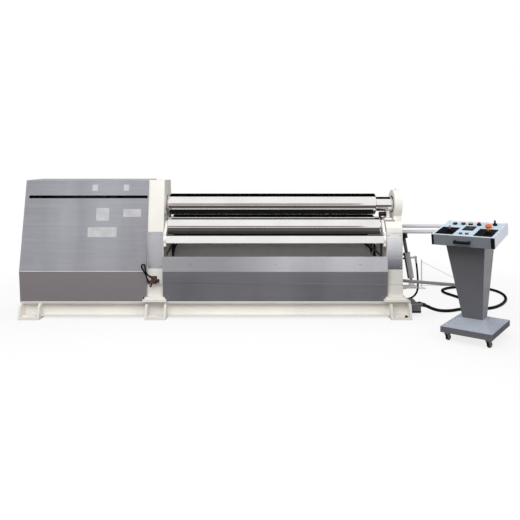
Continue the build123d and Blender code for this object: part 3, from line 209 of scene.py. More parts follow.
def plastic(name, colour, rough, speckle=None, gloss=0.5):
    """Moulded plastic or rubber with a fine grain and a slight sheen.

    Where speckle is given, it is the colour of fine flecks in the surface."""
    s = Shader(name)
    fine = s.noise(scale=900.0, detail=2.0)
    tone = s.between(s.noise(scale=25.0, detail=3.0))
    finish = s.mix(tone, shade(colour, 0.85), shade(colour, 1.15))
    if speckle:
        flecks = s.between(s.noise(scale=160.0, detail=2.0), start=0.66, end=0.72)
        finish = s.mix(flecks, finish, speckle)
    s.colour(finish)
    s.roughness(s.between(fine, low=rough - 0.06, high=rough + 0.08))
    s.normal(s.bump(fine, distance=0.00006, strength=0.5, normal=s.edge_normal(0.0012)))
    s.set(Specular_IOR_Level=gloss)
    return s.material


# Finishes of the machine
sheet_colour = (0.4, 0.405, 0.445)
white = paint("enamel_white", (0.91, 0.885, 0.835), rough=0.38)
# Painted light: a lighter copy of the white enamel, for the torsion beams, the drop cylinder's bracket and
# the trip wire's post
lit_white = paint("enamel_white_lit", (0.965, 0.955, 0.925), rough=0.38)
grey = brushed_sheet("sheet_grey", sheet_colour)
# Painted light: below the bend the cabinet's front turns a lighter, browner grey, standing in for the light
# and the floor's reflection on the lower panel
cabinet_sheet_lit_below = brushed_sheet("cabinet_sheet_lit_below", sheet_colour, other=((0.56, 0.52, 0.545), "Z", 0.43, 0.46))
# Painted light: the front cover's upper slope is much lighter than the grey sheet and lighter still towards
# the right, standing in for light and a reflection
trough_sheet_painted_sheen = brushed_sheet(
    "trough_sheet_painted_sheen", (0.68, 0.69, 0.735), other=((0.43, 0.435, 0.47), "X", 0.05, 0.65)
)
lid_paint = paint("lid_paint", (0.46, 0.47, 0.5), rough=0.45)
# Painted highlight: the right upright's cover is near white high up and darker lower down, standing in for a
# reflected highlight
cover_sheet_painted_highlight = brushed_sheet(
    "cover_sheet_painted_highlight", (0.97, 0.975, 1.0), rough=0.13, metallic=0.92, other=((0.34, 0.35, 0.39), "Z", 0.53, 0.77)
)
# Painted light: a lighter copy of the grey sheet, for the left upright's upward-leaning cover and as the
# highlight on the lip along the cabinet's bend
lit_side_sheet = brushed_sheet("lit_side_sheet", (0.8, 0.81, 0.85))
inner_paint = paint("inner_paint", (0.9, 0.88, 0.87), rough=0.5)
roll_steel = turned_steel("roll_steel", (0.86, 0.85, 0.84), rough=0.07)
machined = plain_metal("machined_steel", (0.48, 0.48, 0.49), rough=0.35)
dark_steel = plain_metal("dark_steel", (0.035, 0.033, 0.032), rough=0.42)
maroon = plain_metal("stained_steel", (0.075, 0.04, 0.034), rough=0.4)
bronze = plain_metal("bearing_bronze", (0.62, 0.43, 0.22), rough=0.35)
zinc = plain_metal("zinc_plate", (0.6, 0.6, 0.63), rough=0.32)
aluminium = plain_metal("satin_aluminium", (0.72, 0.73, 0.75), rough=0.42, grain=500.0)
drive = paint("drive_paint", (0.05, 0.055, 0.06), rough=0.45)
cylinder = paint("cylinder_paint", (0.42, 0.42, 0.425), rough=0.4)
# Painted shade: near black, for the left side of the drop cylinder's barrel
cylinder_painted_shade = paint("cylinder_painted_shade", (0.02, 0.02, 0.02), rough=0.42)
pipe_grey = paint("pipe_grey", (0.46, 0.46, 0.46), rough=0.4)
rod_grey = plain_metal("rod_grey", (0.16, 0.16, 0.163), rough=0.35, grain=300.0)
link_black = paint("link_black", (0.014, 0.013, 0.012), rough=0.45)
# Painted shade: near black, for the torsion beams' tops under the rolls and for the angles in the trough's
# corners
painted_shade = paint("painted_shade", (0.055, 0.055, 0.057), rough=0.6, gloss=0.1)
rod_dark = plain_metal("rod_dark", (0.1, 0.1, 0.1), rough=0.25, grain=400.0)
link_olive = paint("link_olive", (0.11, 0.105, 0.085), rough=0.45)
rubber = plastic("hose_rubber", (0.003, 0.003, 0.0034), rough=0.6, gloss=0.12)
black = plastic("black_plastic", (0.004, 0.004, 0.005), rough=0.45, gloss=0.25)
switch_red = plastic("switch_red", (0.1, 0.03, 0.026), rough=0.5)
switch_black = plastic("switch_black", (0.016, 0.012, 0.012), rough=0.45)
connector = plastic("connector_plastic", (0.15, 0.155, 0.155), rough=0.5)
# Painted shade: darker, for the connector's left and downward faces
connector_painted_shade = plastic("connector_painted_shade", (0.028, 0.028, 0.02), rough=0.5)
wire_steel = plain_metal("wire_steel", (0.38, 0.38, 0.38), rough=0.35)
rail = paint("rail_paint", (0.68, 0.69, 0.73), rough=0.42)
arm_paint = paint("arm_paint", (0.27, 0.255, 0.275), rough=0.42)

# Finishes of the console
console_grey = paint("console_grey", (0.135, 0.135, 0.15), rough=0.5, peel=0.0002)
console_base = paint("console_base", (0.49, 0.535, 0.625), rough=0.26, edge=0.006)
console_near = paint("console_near", (0.19, 0.205, 0.23), rough=0.45, peel=0.0002)
# Painted light: a lighter copy of the console grey, for the column's right side
console_lit_flank = paint("console_lit_flank", (0.205, 0.205, 0.22), rough=0.45, peel=0.0002)
console_light = paint("console_light", (0.6, 0.72, 0.83), rough=0.4)
console_side = paint("console_side", (0.78, 0.82, 0.9), rough=0.4)
# Painted highlight: lighter than the panel, for the bright edge of the panel's rim
console_rim_highlight = paint("console_rim_highlight", (0.8, 0.85, 0.9), rough=0.35)
control_plate = plastic(
    "control_plate", (0.005, 0.006, 0.009), rough=0.5, speckle=(0.25, 0.26, 0.3), gloss=0.2
)
display = plastic("display_olive", (0.05, 0.055, 0.045), rough=0.2)
teal = plastic("knob_teal", (0.012, 0.03, 0.042), rough=0.35)
pink_grey = plastic("stick_grey", (0.34, 0.2, 0.2), rough=0.4)
red = plastic("button_red", (0.5, 0.03, 0.02), rough=0.3)
green = plastic("button_green", (0.02, 0.1, 0.055), rough=0.3)
orange = plastic("stop_orange", (0.78, 0.15, 0.015), rough=0.3)
yellow = plastic("collar_yellow", (0.75, 0.5, 0.12), rough=0.4)
cream = plastic("lamp_cream", (0.8, 0.6, 0.3), rough=0.25)
tyre = plastic("caster_tyre", (0.008, 0.008, 0.009), rough=0.6, gloss=0.2)
hub = plastic("caster_hub", (0.42, 0.42, 0.43), rough=0.45)

finishes = {
    white: ("base_frame", "base_feet", "left_upright", "right_upright", "drop_end_yoke"),
    lit_white: ("front_torsion_beam", "rear_torsion_beam", "drop_cylinder_bracket"),
    grey: ("cabinet_end_panel", "cabinet_rear_panel", "rear_cover"),
    cabinet_sheet_lit_below: ("cabinet_front_panel",),
    trough_sheet_painted_sheen: ("front_cover",),
    lit_side_sheet: ("upright_covers",),
    lid_paint: ("cabinet_top_cover",),
    roll_steel: ("top_roll", "front_roll", "rear_roll"),
    machined: ("yoke_pivot_pin", "front_bearing_blocks", "rear_bearing_blocks"),
    dark_steel: ("levelling_screws", "yoke_bush"),
    bronze: ("top_roll_bearing",),
    rod_dark: ("front_lift_rods", "rear_lift_rods"),
    rod_grey: ("drop_cylinder_rod",),
    zinc: tuple(n for n in nodes if n.startswith("caster_fork")),
    tyre: tuple(n for n in nodes if n.startswith("caster_wheel")),
    drive: ("top_roll_drive", "oil_tank", "pump_motor"),
    cylinder: ("lift_cylinders", "drop_cylinder_barrel"),
    switch_red: ("trip_switch",),
    wire_steel: ("trip_wire",),
    rail: ("trip_wire_supports", "guard_rails"),
    connector: ("base_connector",),
    console_grey: ("console_column", "console_box"),
    console_base: ("console_base",),
    console_light: ("console_panel",),
    black: ("console_fittings", "mode_selector"),
    pink_grey: ("joystick_left", "joystick_right"),
    orange: ("emergency_stop",),
    red: ("stop_button",),
    green: ("start_button",),
    aluminium: ("panel_hardware",),
}
for material, names in finishes.items():
    for name in names:
        nodes[name].data.materials.clear()
        nodes[name].data.materials.append(material)

# Frame of the console: along its near edge, to its back, and the tilted panel above
yaw = radians(-38.3)
tilt = radians(11)
along = Vector((cos(yaw), sin(yaw), 0))
inward = Vector((-sin(yaw), cos(yaw), 0))
upright = Vector((0, 0, 1))
panel_back = inward * cos(tilt) + upright * sin(tilt)
panel_up = upright * cos(tilt) - inward * sin(tilt)
console_middle = Vector((2.213, -0.840, 0))
panel_width = 0.483
panel_depth = 0.428
panel_top = 0.090
panel_aside = 0.024
panel_front = 0.272
panel_floor = 0.778
panel_near = console_middle - panel_aside * along - panel_front * inward + panel_floor * upright
panel_corner = panel_near - panel_width / 2 * along


def panel_point(share, w=panel_top):
    """A point over the panel, by its shares of the width and depth and its height over the box's floor."""
    return panel_corner + share[0] * panel_width * along + share[1] * panel_depth * panel_back + w * panel_up


def panel_place(point):
    """Shares of the panel's width and depth, and height over the box's floor, of a point."""
    gap = point - panel_corner
    return gap.dot(along) / panel_width, gap.dot(panel_back) / panel_depth, gap.dot(panel_up)


def near_spot(point, share, radius):
    u, v, _ = panel_place(point)
    return ((u - share[0]) * panel_width) ** 2 + ((v - share[1]) * panel_depth) ** 2 < radius**2


# Places of the controls, as shares of the panel; the display's are left, right, near and far
stick_places = {"joystick_left": (0.262, 0.17), "joystick_right": (0.875, 0.175)}
start_place = (0.186, 0.74)
stop_place = (0.322, 0.765)
cream_place = (0.445, 0.768)
dark_place = (0.59, 0.75)
selector_place = (0.836, 0.81)
emergency_place = (0.785, 0.585)
knob_places = ((0.45, 0.115), (0.549, 0.122))
display_place = (0.412, 0.575, 0.37, 0.622)


# Second finishes on the solids
def repaint(name, material, test):
    """Gives a second finish to the faces of a solid whose centre and normal pass the test."""
    mesh = nodes[name].data
    mesh.materials.append(material)
    slot = len(mesh.materials) - 1
    for face in mesh.polygons:
        if test(face.center, face.normal):
            face.material_index = slot


# A face looks towards a direction where its normal has more than this share of it
facing = 0.5
facing_flank = 0.7
facing_square = 0.9
facing_level = 0.99
facing_end = 0.999

# X that parts the right upright's cover and screws from the rest, and a height just over the covers' bend
right_end = 1
over_bend = 0.45
# The right upright's cover takes the sheet with the painted highlight
repaint("upright_covers", cover_sheet_painted_highlight, lambda c, n: c.x > right_end)
repaint("rear_cover", inner_paint, lambda c, n: n.y < -facing)
# Below the bend the front cover keeps the plain grey sheet, without the painted light of the slope
repaint("front_cover", grey, lambda c, n: c.z < over_bend)

# Torsion beams: round links and braces below, and painted shade on the top
link_top = 0.7075
link_middle = 0.225
link_reach = 0.016
underside_low = 0.66
beam_top = 0.776
beam_top_slack = 0.001
olive_links = -0.45


def on_link(centre, normal):
    """Whether a face of a torsion beam belongs to its round links and braces."""
    underside = normal.z < -facing_level and centre.z > underside_low
    flat = abs(normal.x) > facing_end or underside
    return centre.z < link_top and abs(abs(centre.y) - link_middle) < link_reach and not flat


def on_beam_top(centre, normal):
    return normal.z > facing_level and abs(centre.z - beam_top) < beam_top_slack


for name in ("front_torsion_beam", "rear_torsion_beam"):
    repaint(name, link_black, on_link)
    repaint(name, painted_shade, on_beam_top)
repaint("front_torsion_beam", link_olive, lambda c, n: on_link(c, n) and c.x < olive_links)

# Drop end: stained stub, dark pipe and lug, painted shade down the left side of its cylinder, and the
# cylinder's port
stub_start = 1.57
stub_end = 1.6289
stub_low = 0.93
pipe_end = 1.7
lug_face = 1.795
lug_half = 0.042
lug_low = 0.69
lug_high = 0.83
drop_lean = radians(9.75)
drop_foot = Vector((1.9192, 0, 0.2884))
drop_across = Vector((cos(drop_lean), 0, sin(drop_lean)))
painted_shade_edge = -0.022
port_start = 0.036


def on_stub(centre, normal):
    return stub_start < centre.x < stub_end and centre.z > stub_low


def on_pipe(centre, normal):
    return centre.x < pipe_end and (centre.x > stub_end or centre.z < stub_low)


def on_lug(centre, normal):
    return centre.x > lug_face and abs(centre.y) < lug_half and lug_low < centre.z < lug_high


def across_barrel(point):
    return (point - drop_foot).dot(drop_across)


repaint("yoke_pivot_pin", maroon, on_stub)
repaint("yoke_pivot_pin", dark_steel, on_pipe)
repaint("drop_end_yoke", dark_steel, on_lug)
repaint("drop_cylinder_barrel", cylinder_painted_shade, lambda c, n: across_barrel(c) < painted_shade_edge)
repaint("drop_cylinder_barrel", pipe_grey, lambda c, n: across_barrel(c) > port_start)

# Trip wire: its arm in front, its post behind, and the ends of its switch
arm_back = 0.2
post_front = 0.9
switch_right = -0.562
switch_high = 0.4
switch_low = 0.33


def on_switch_end(centre, normal):
    return centre.x > switch_right or centre.z > switch_high or centre.z < switch_low


repaint("trip_wire_supports", arm_paint, lambda c, n: c.y < arm_back)
# The post takes the lighter white that stands in for stronger light
repaint("trip_wire_supports", lit_white, lambda c, n: c.y > post_front)
# The connector's left and downward faces take the painted shade
repaint("base_connector", connector_painted_shade, lambda c, n: n.x < -facing or n.z < -facing)
repaint("trip_switch", switch_black, on_switch_end)

# Console: sides of the box, the column and the base, and the fittings by their height over the box's floor
downward = 0.05
plate_low = 0.0905
plate_high = 0.0925
display_middle = (0.4935, 0.496)
display_half = (0.083, 0.128)
knob_radius = 0.015
knob_low = 0.0902
collar_radius = 0.027
collar_low = 0.0922
inlet_middle = 2.36
inlet_half = 0.04
inlet_front = -0.63
inlet_top = 0.125


def on_display(centre, normal):
    u, v, _ = panel_place(centre)
    return abs(u - display_middle[0]) < display_half[0] and abs(v - display_middle[1]) < display_half[1]


def on_control(place, radius, low):
    """A test for the faces of a round control at a place on the panel."""
    return lambda c, n: near_spot(c, place, radius) and panel_place(c)[2] > low


def on_inlet(centre, normal):
    return centre.z < inlet_top and abs(centre.x - inlet_middle) < inlet_half and centre.y > inlet_front


repaint("console_box", console_near, lambda c, n: n.dot(inward) < -facing_square)
repaint("console_box", console_side, lambda c, n: n.dot(along) > facing_square)
# The column's right side is painted lighter, standing in for light from the right
repaint("console_column", console_lit_flank, lambda c, n: n.dot(along) > facing_flank)
repaint("console_base", console_grey, lambda c, n: n.z < downward)
repaint("console_fittings", control_plate, lambda c, n: plate_low < panel_place(c)[2] < plate_high)
repaint("console_fittings", display, on_display)
for place in knob_places:
    repaint("console_fittings", teal, on_control(place, knob_radius, knob_low))
repaint("console_fittings", yellow, on_control(emergency_place, collar_radius, collar_low))
repaint("console_base", black, on_inlet)

# Screws: painted ones under the base's left and middle, and plated ones low on the panels
hardware_high = 0.83
hardware_left = -0.65
repaint("levelling_screws", white, lambda c, n: c.x < right_end)
repaint("panel_hardware", zinc, lambda c, n: c.z < hardware_high and (c.x > hardware_left or c.y > 0))


# Cords along the routes of the solid model, in metres
def cord(name, node, points, diameter):
    """A round cord along control points, in place of the cord's solid."""
    data = bpy.data.curves.new(name, "CURVE")
    data.dimensions = "3D"
    data.bevel_depth = diameter / 2
    data.bevel_resolution = 6
    data.resolution_u = 12
    data.use_fill_caps = True
    spline = data.splines.new("NURBS")
    spline.points.add(len(points) - 1)
    for spot, place in zip(spline.points, points):
        spot.co = (*place, 1.0)
    spline.order_u = 3
    spline.use_endpoint_u = True
    data.materials.append(rubber)
    piece = bpy.data.objects.new(name, data)
    scene.collection.objects.link(piece)
    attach(piece, "frame")
    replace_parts(piece, node)


hose_points = (
    (1.961, 0.0, 0.5145),
    (1.969, 0.0, 0.4591),
    (1.976, 0.0, 0.3879),
    (1.982, 0.0, 0.3049),
    (1.980, 0.0, 0.2064),
    (1.950, 0.0, 0.1542),
    (1.898, 0.0, 0.1240),
    (1.848, 0.0, 0.1190),
)
lead_points = (
    (-0.630, -0.277, 0.352),
    (-0.632, -0.289, 0.363),
    (-0.635, -0.305, 0.385),
    (-0.640, -0.317, 0.411),
    (-0.650, -0.323, 0.437),
    (-0.664, -0.326, 0.459),
    (-0.676, -0.329, 0.479),
    (-0.682, -0.333, 0.498),
    (-0.677, -0.337, 0.515),
    (-0.662, -0.341, 0.522),
    (-0.647, -0.345, 0.513),
    (-0.645, -0.348, 0.491),
    (-0.641, -0.351, 0.463),
    (-0.631, -0.350, 0.438),
    (-0.614, -0.342, 0.417),
    (-0.593, -0.328, 0.401),
)
cable_points = (
    (1.969, -0.158, 0.108),
    (2.017, -0.142, 0.092),
    (2.091, -0.110, 0.052),
    (2.179, -0.076, 0.024),
    (2.295, -0.044, 0.016),
    (2.419, 0.030, 0.016),
    (2.557, 0.046, 0.016),
    (2.691, 0.038, 0.016),
    (2.827, 0.122, 0.016),
    (2.971, 0.290, 0.016),
    (3.075, 0.470, 0.016),
    (3.135, 0.650, 0.016),
    (3.149, 0.815, 0.016),
    (3.105, 0.964, 0.016),
    (2.990, 1.064, 0.016),
    (2.850, 1.090, 0.016),
    (2.716, 1.056, 0.016),
    (2.604, 0.994, 0.016),
    (2.522, 0.892, 0.016),
    (2.506, 0.774, 0.016),
    (2.542, 0.660, 0.016),
    (2.584, 0.546, 0.016),
    (2.603, 0.420, 0.016),
    (2.606, 0.310, 0.029),
    (2.600, 0.208, 0.062),
    (2.586, 0.124, 0.080),
    (2.568, -0.014, 0.080),
    (2.552, -0.100, 0.062),
    (2.531, -0.196, 0.029),
    (2.499, -0.300, 0.016),
    (2.444, -0.408, 0.028),
    (2.406, -0.486, 0.064),
    (2.376, -0.546, 0.088),
    (2.350, -0.590, 0.092),
)
cord("drop_hose", "cylinder_hose", hose_points, diameter=0.018)
cord("switch_lead", "trip_switch_lead", lead_points, diameter=0.014)
cord("floor_cable", "console_cable", cable_points, diameter=0.031)

# Camera at the photograph's viewpoint
camera_data = bpy.data.cameras.new("camera")
camera_data.sensor_width = 36.0
camera_data.lens = 36.7
camera_data.shift_y = -0.1615
camera = bpy.data.objects.new("camera", camera_data)
camera.location = (0.418, -5.25, 1.34)
camera.rotation_euler = (radians(90), 0, 0)
scene.collection.objects.link(camera)
scene.camera = camera


# Small pieces, each one mesh
class Piece:
    """Collects turned and looped forms into one mesh with several finishes."""

    def __init__(self, name, *materials):
        self.name = name
        self.materials = materials
        self.points = []
        self.faces = []
        self.slots = []

    def loops(self, rings, slots, closed=True):
        """Skins a row of rings with the same number of points; slots gives each band's finish."""
        count = len(rings[0])
        first = len(self.points)
        for ring in rings:
            self.points.extend(ring)
        for level, slot in zip(range(len(rings) - 1), slots):
            for i in range(count):
                j = (i + 1) % count
                low = first + level * count
                high = low + count
                self.faces.append((low + i, low + j, high + j, high + i))
                self.slots.append(slot)
        if closed:
            last = first + (len(rings) - 1) * count
            self.faces.append(tuple(reversed(range(first, first + count))))
            self.faces.append(tuple(range(last, last + count)))
            self.slots.extend((slots[0], slots[-1]))

    def turn(self, base, axis, rows, segments=28, closed=True, flute=0.0):
        """Turns rows of (along, radius, finish) about an axis; flute draws in every other point."""
        axis = Vector(axis).normalized()
        side = axis.orthogonal().normalized()
        other = axis.cross(side)
        rings = []
        for reach, radius, _ in rows:
            ring = []
            for i in range(segments):
                angle = 2 * pi * i / segments
                size = radius * (1 - flute * (i % 2))
                ring.append(Vector(base) + axis * reach + size * (cos(angle) * side + sin(angle) * other))
            rings.append(ring)
        self.loops(rings, [row[2] for row in rows], closed)

    def made(self, body, slot, smooth=35):
        """Makes the mesh, with edges sharp past the angle smooth, and lets it ride unless body is None."""
        mesh = bpy.data.meshes.new(self.name)
        mesh.from_pydata(self.points, [], self.faces)
        for material in self.materials:
            mesh.materials.append(material)
        for face, number in zip(mesh.polygons, self.slots):
            face.material_index = number
        mesh.shade_smooth()
        mesh.set_sharp_from_angle(angle=radians(smooth))
        piece = bpy.data.objects.new(self.name, mesh)
        scene.collection.objects.link(piece)
        if body:
            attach(piece, body)
        return piece


# Sleeves at the ends of the cords
def relief(piece, start, towards, big, small, length, ribs):
    """A tapered, ribbed sleeve from a housing along the first run of a cord."""
    rib_start = 0.15
    rib_end = 0.75
    rib_step = 0.0004
    way = Vector(towards) - Vector(start)
    rows = [(-0.004, big, 0), (0.0, big, 0)]
    for i in range(ribs):
        near = (i + rib_start) / ribs
        far = (i + rib_end) / ribs
        wide = big + (small - big) * near
        rows.append((near * length, wide, 0))
        rows.append((far * length, wide - 0.0006, 0))
        rows.append((far * length + rib_step, wide - 0.0022, 0))
        rows.append(((i + 1) / ribs * length, wide - 0.0024, 0))
    piece.turn(start, way, rows)


def ferrule(piece, start, towards, big, small, length):
    """A crimped sleeve with grooves, on the end of a hose."""
    way = Vector(towards) - Vector(start)
    body = big - 0.001
    groove = small + 0.0004
    rows = [(-0.003, big, 0), (0.004, big, 0), (0.006, body, 0)]
    for share in (0.3, 0.5, 0.7):
        middle = share * length
        for reach, radius in ((-0.002, body), (-0.001, groove), (0.001, groove), (0.002, body)):
            rows.append((middle + reach, radius, 0))
    rows.append((length, small + 0.0006, 0))
    piece.turn(start, way, rows)


piece = Piece("cable_reliefs", black)
relief(piece, cable_points[0], cable_points[1], big=0.0212, small=0.0185, length=0.046, ribs=5)
relief(piece, cable_points[-1], cable_points[-2], big=0.0203, small=0.0185, length=0.046, ribs=5)
piece.made("frame", "control_black")
piece = Piece("lead_reliefs", black)
relief(piece, lead_points[0], lead_points[1], big=0.0098, small=0.0094, length=0.015, ribs=3)
relief(piece, lead_points[-1], lead_points[-2], big=0.0098, small=0.0094, length=0.022, ribs=4)
piece.made("frame", "control_black")
piece = Piece("hose_ferrules", zinc)
ferrule(piece, hose_points[0], hose_points[1], big=0.0118, small=0.0094, length=0.036)
ferrule(piece, hose_points[-1], hose_points[-2], big=0.0128, small=0.0094, length=0.034)
piece.made("frame", "machined_steel")


# Bolts through the soles of the uprights
def hex_bolt(piece, spot, axis, size):
    """A hexagon head with a chamfered top on a round washer."""
    wide = size * 1.2
    seat = size * 0.2
    washer = [(0, wide, 0), (seat, wide, 0), (size * 0.24, size * 1.12, 0)]
    head = [(seat, size, 0), (size * 0.82, size, 0), (size * 0.98, size * 0.86, 0)]
    piece.turn(spot, axis, washer)
    piece.turn(spot, axis, head, segments=6)


sole_top = 0.186
sole_bolt_size = 0.0065
piece = Piece("sole_bolts", zinc)
for x in (-0.4665, 1.5875, 1.7935):
    for y in (-0.25, -0.08, 0.08, 0.25):
        hex_bolt(piece, (x, y, sole_top), (0, 0, 1), sole_bolt_size)
piece.made("frame", "machined_steel")

# Folded lip along the bend of the cabinet's front, by depth and height from the bend; its light sheet is a
# painted highlight along the bend
cabinet_front = -0.300
lip_height = 0.447
lip_section = (
    (0.0, -0.005),
    (-0.0022, -0.0042),
    (-0.003, -0.0015),
    (-0.003, 0.0025),
    (-0.0018, 0.0046),
    (0.0012, 0.0052),
)
piece = Piece("door_lip", lit_side_sheet)
ends = []
for x in (-1.826, -0.655):
    ends.append([Vector((x, cabinet_front + y, lip_height + z)) for y, z in lip_section])
piece.loops(ends, [0])
piece.made("frame", "cover_grey")

# Angles that close the corners between the trough covers and the uprights. The covers' inside is
# given by height and depth, and the uprights' inner faces by X and the way into the trough.
cover_inside = ((0.235, 0.2752), (0.34, 0.2853), (0.444, 0.2952), (0.52, 0.2843))
rear_cover_top = ((0.584, 0.2750), (0.636, 0.2750))
front_cover_top = ((0.572, 0.2767),)
inner_faces = ((-0.4938, 1), (1.6148, -1))
angle_edge = 0.2350
angle_sheet = 0.0012
angle_bend = 0.0030
angle_leg = 0.0150
angle_screw_x = 0.0088
angle_screw_y = 0.2738
angle_screw = [
    (0, 0.0042, 1),
    (0.0008, 0.0042, 1),
    (0.0008, 0.0034, 1),
    (0.0028, 0.0034, 1),
    (0.0033, 0.0028, 1),
]
# The angles take the near-black paint that stands in for shade in the trough's corners
piece = Piece("cover_angles", painted_shade, zinc)
for side, top_end, screw_heights in ((1, rear_cover_top, (0.596, 0.622)), (-1, front_cover_top, ())):
    for inner_face, way in inner_faces:
        stations = []
        for z, y in cover_inside + top_end:
            section = (
                (0.0, angle_edge),
                (angle_sheet, angle_edge),
                (angle_sheet, y - angle_bend),
                (angle_bend, y - angle_sheet),
                (angle_leg, y - angle_sheet),
                (angle_leg, y),
                (0.0, y),
            )
            ring = [Vector((inner_face + way * x, side * depth, z)) for x, depth in section]
            stations.append(ring if side * way > 0 else ring[::-1])
        piece.loops(stations, [0] * (len(stations) - 1))
        for z in screw_heights:
            spot = (inner_face + way * angle_screw_x, angle_screw_y, z)
            piece.turn(spot, (0, -1, 0), angle_screw, segments=6)
piece.made("frame", "cover_grey")

# Lapped joint in the middle of the rear trough cover's inside, along the cover's height and depth
joint_x = 0.536
joint_line = ((0.25, 0.2772), (0.444, 0.2958), (0.584, 0.2757), (0.655, 0.2757))
joint_section = ((-0.0150, 0.0), (-0.0143, -0.0016), (0.0143, -0.0016), (0.0150, 0.0))
piece = Piece("trough_joint", inner_paint)
stations = []
for z, y in joint_line:
    stations.append([Vector((joint_x + x, y + depth, z)) for x, depth in joint_section])
piece.loops(stations, [0] * (len(stations) - 1))
piece.made("frame", "cover_grey")

# Gasket, lid edge and lever pins of the connector at the end of the base. Each band has rows of
# height, reach over the connector's faces, and finish.
connector_left = 1.8365
connector_right = 1.951
connector_front = -0.204
connector_back = -0.116
gasket = ((0.0435, 0.0, 0), (0.0443, 0.0016, 0), (0.0527, 0.0016, 0), (0.0535, 0.0, 0))
lid_edge = ((0.1135, 0.0, 1), (0.1141, 0.0014, 1), (0.1206, 0.0014, 1), (0.1216, 0.0004, 1))
pin_height = 0.088
lever_pin = [
    (0, 0.0055, 1),
    (0.0012, 0.0055, 1),
    (0.0016, 0.005, 1),
    (0.0016, 0.003, 1),
    (0.0034, 0.003, 1),
    (0.0038, 0.0025, 1),
]
piece = Piece("connector_trim", black, zinc)
for band in (gasket, lid_edge):
    rings = []
    for z, out, _ in band:
        right, front, back = connector_right + out, connector_front - out, connector_back + out
        corners = ((connector_left, front), (right, front), (right, back), (connector_left, back))
        rings.append([Vector((x, y, z)) for x, y in corners])
    piece.loops(rings, [row[2] for row in band])
for x in (1.858, 1.932):
    piece.turn((x, connector_front, pin_height), (0, -1, 0), lever_pin, segments=20)
piece.made("frame", "control_black")

# Rivets of the blank plates on the leaning front: left, right, low and high edge of each plate
face_out = Vector((0, -0.9918, 0.1276))
bend_height = 0.445
front_height = 0.855
front_lean = 0.110
plate_thickness = 0.0015
rivet_inset = 0.007
rivet = [(-0.001, 0.0032, 0), (0.0002, 0.0032, 0), (0.0012, 0.0026, 0), (0.0017, 0.0013, 0)]
plate_edges = (
    (-1.132, -1.009, 0.915, 1.038),
    (-0.877, -0.707, 0.952, 1.028),
    (-1.207, -0.933, 0.764, 0.858),
    (-1.177, -1.124, 1.199, 1.259),
    (-0.880, -0.828, 1.199, 1.259),
)
piece = Piece("plate_rivets", zinc)
for left, right, low, high in plate_edges:
    for x in (left + rivet_inset, right - rivet_inset):
        for z in (low + rivet_inset, high - rivet_inset):
            y = cabinet_front + (z - bend_height) / front_height * front_lean
            spot = Vector((x, y, z)) + face_out * plate_thickness
            piece.turn(spot, face_out, rivet, segments=14)
piece.made("frame", "machined_steel")


# Console: rim of the panel, display, controls and screws
def panel_loop(inset, w, box=(0.0, 1.0, 0.0, 1.0)):
    """Corners of a loop set in from a box of shares of the panel, at a height over the box's floor."""
    du = inset / panel_width
    dv = inset / panel_depth
    u0, u1, v0, v1 = box
    corners = ((u0 + du, v0 + dv), (u1 - du, v0 + dv), (u1 - du, v1 - dv), (u0 + du, v1 - dv))
    return [panel_point(corner, w) for corner in corners]


# The rim is painted lighter than the panel, as a highlight along its edge
rim_steps = ((0.0006, 0.0896), (0.0006, 0.0912), (0.0016, 0.0921), (0.0070, 0.0921), (0.0082, 0.0902))
piece = Piece("panel_rim", console_rim_highlight)
piece.loops([panel_loop(*step) for step in rim_steps], [0] * 4, closed=False)
piece.made("frame", "console_light")

bezel_steps = ((-0.0025, 0.0899), (-0.0025, 0.0945), (-0.0010, 0.0962), (0.0045, 0.0962), (0.0058, 0.0952))
piece = Piece("display_frame", black)
piece.loops([panel_loop(inset, w, display_place) for inset, w in bezel_steps], [0] * 4, closed=False)
piece.made("frame", "control_black")

panel_surface = 0.0902
screw = [(0, 0.0042, 0), (0.001, 0.0042, 0), (0.0021, 0.003, 0), (0.0024, 0.0018, 0), (0.0016, 0.0014, 0)]
piece = Piece("panel_screws", zinc)
for share in ((0.035, 0.03), (0.5, 0.03), (0.965, 0.03), (0.035, 0.97), (0.66, 0.97), (0.965, 0.97)):
    piece.turn(panel_point(share, panel_surface), panel_up, screw, segments=18)
piece.made("frame", "machined_steel")

bezel = [
    (0.0115, 0.0181, 0),
    (0.0130, 0.0176, 0),
    (0.0138, 0.0160, 0),
    (0.0136, 0.0136, 0),
    (0.0122, 0.0124, 0),
]
piece = Piece("control_bezels", black)
for share in (start_place, stop_place, cream_place, dark_place, selector_place):
    piece.turn(panel_point(share), panel_up, bezel, segments=32, closed=False)
piece.made("frame", "control_black")

dome = (
    (0.0130, 0.0123),
    (0.0238, 0.0123),
    (0.0262, 0.0114),
    (0.0283, 0.0088),
    (0.0297, 0.0050),
    (0.0301, 0.0015),
)
lit_from = 0.025
piece = Piece("lamp_lenses", cream, switch_black, orange)
piece.turn(panel_point(cream_place), panel_up, [(*row, 0) for row in dome])
piece.turn(panel_point(dark_place), panel_up, [(*row, 1 if row[0] < lit_from else 2) for row in dome])
piece.made("frame", "console_light")

dial = [
    (0.0005, 0.0142, 0),
    (0.0100, 0.0136, 0),
    (0.0112, 0.0124, 0),
    (0.0112, 0.0080, 1),
    (0.0104, 0.0070, 1),
]
piece = Piece("small_dials", teal, hub)
for share in knob_places:
    piece.turn(panel_point(share), panel_up, dial, segments=36, flute=0.05)
piece.made("frame", "control_black")

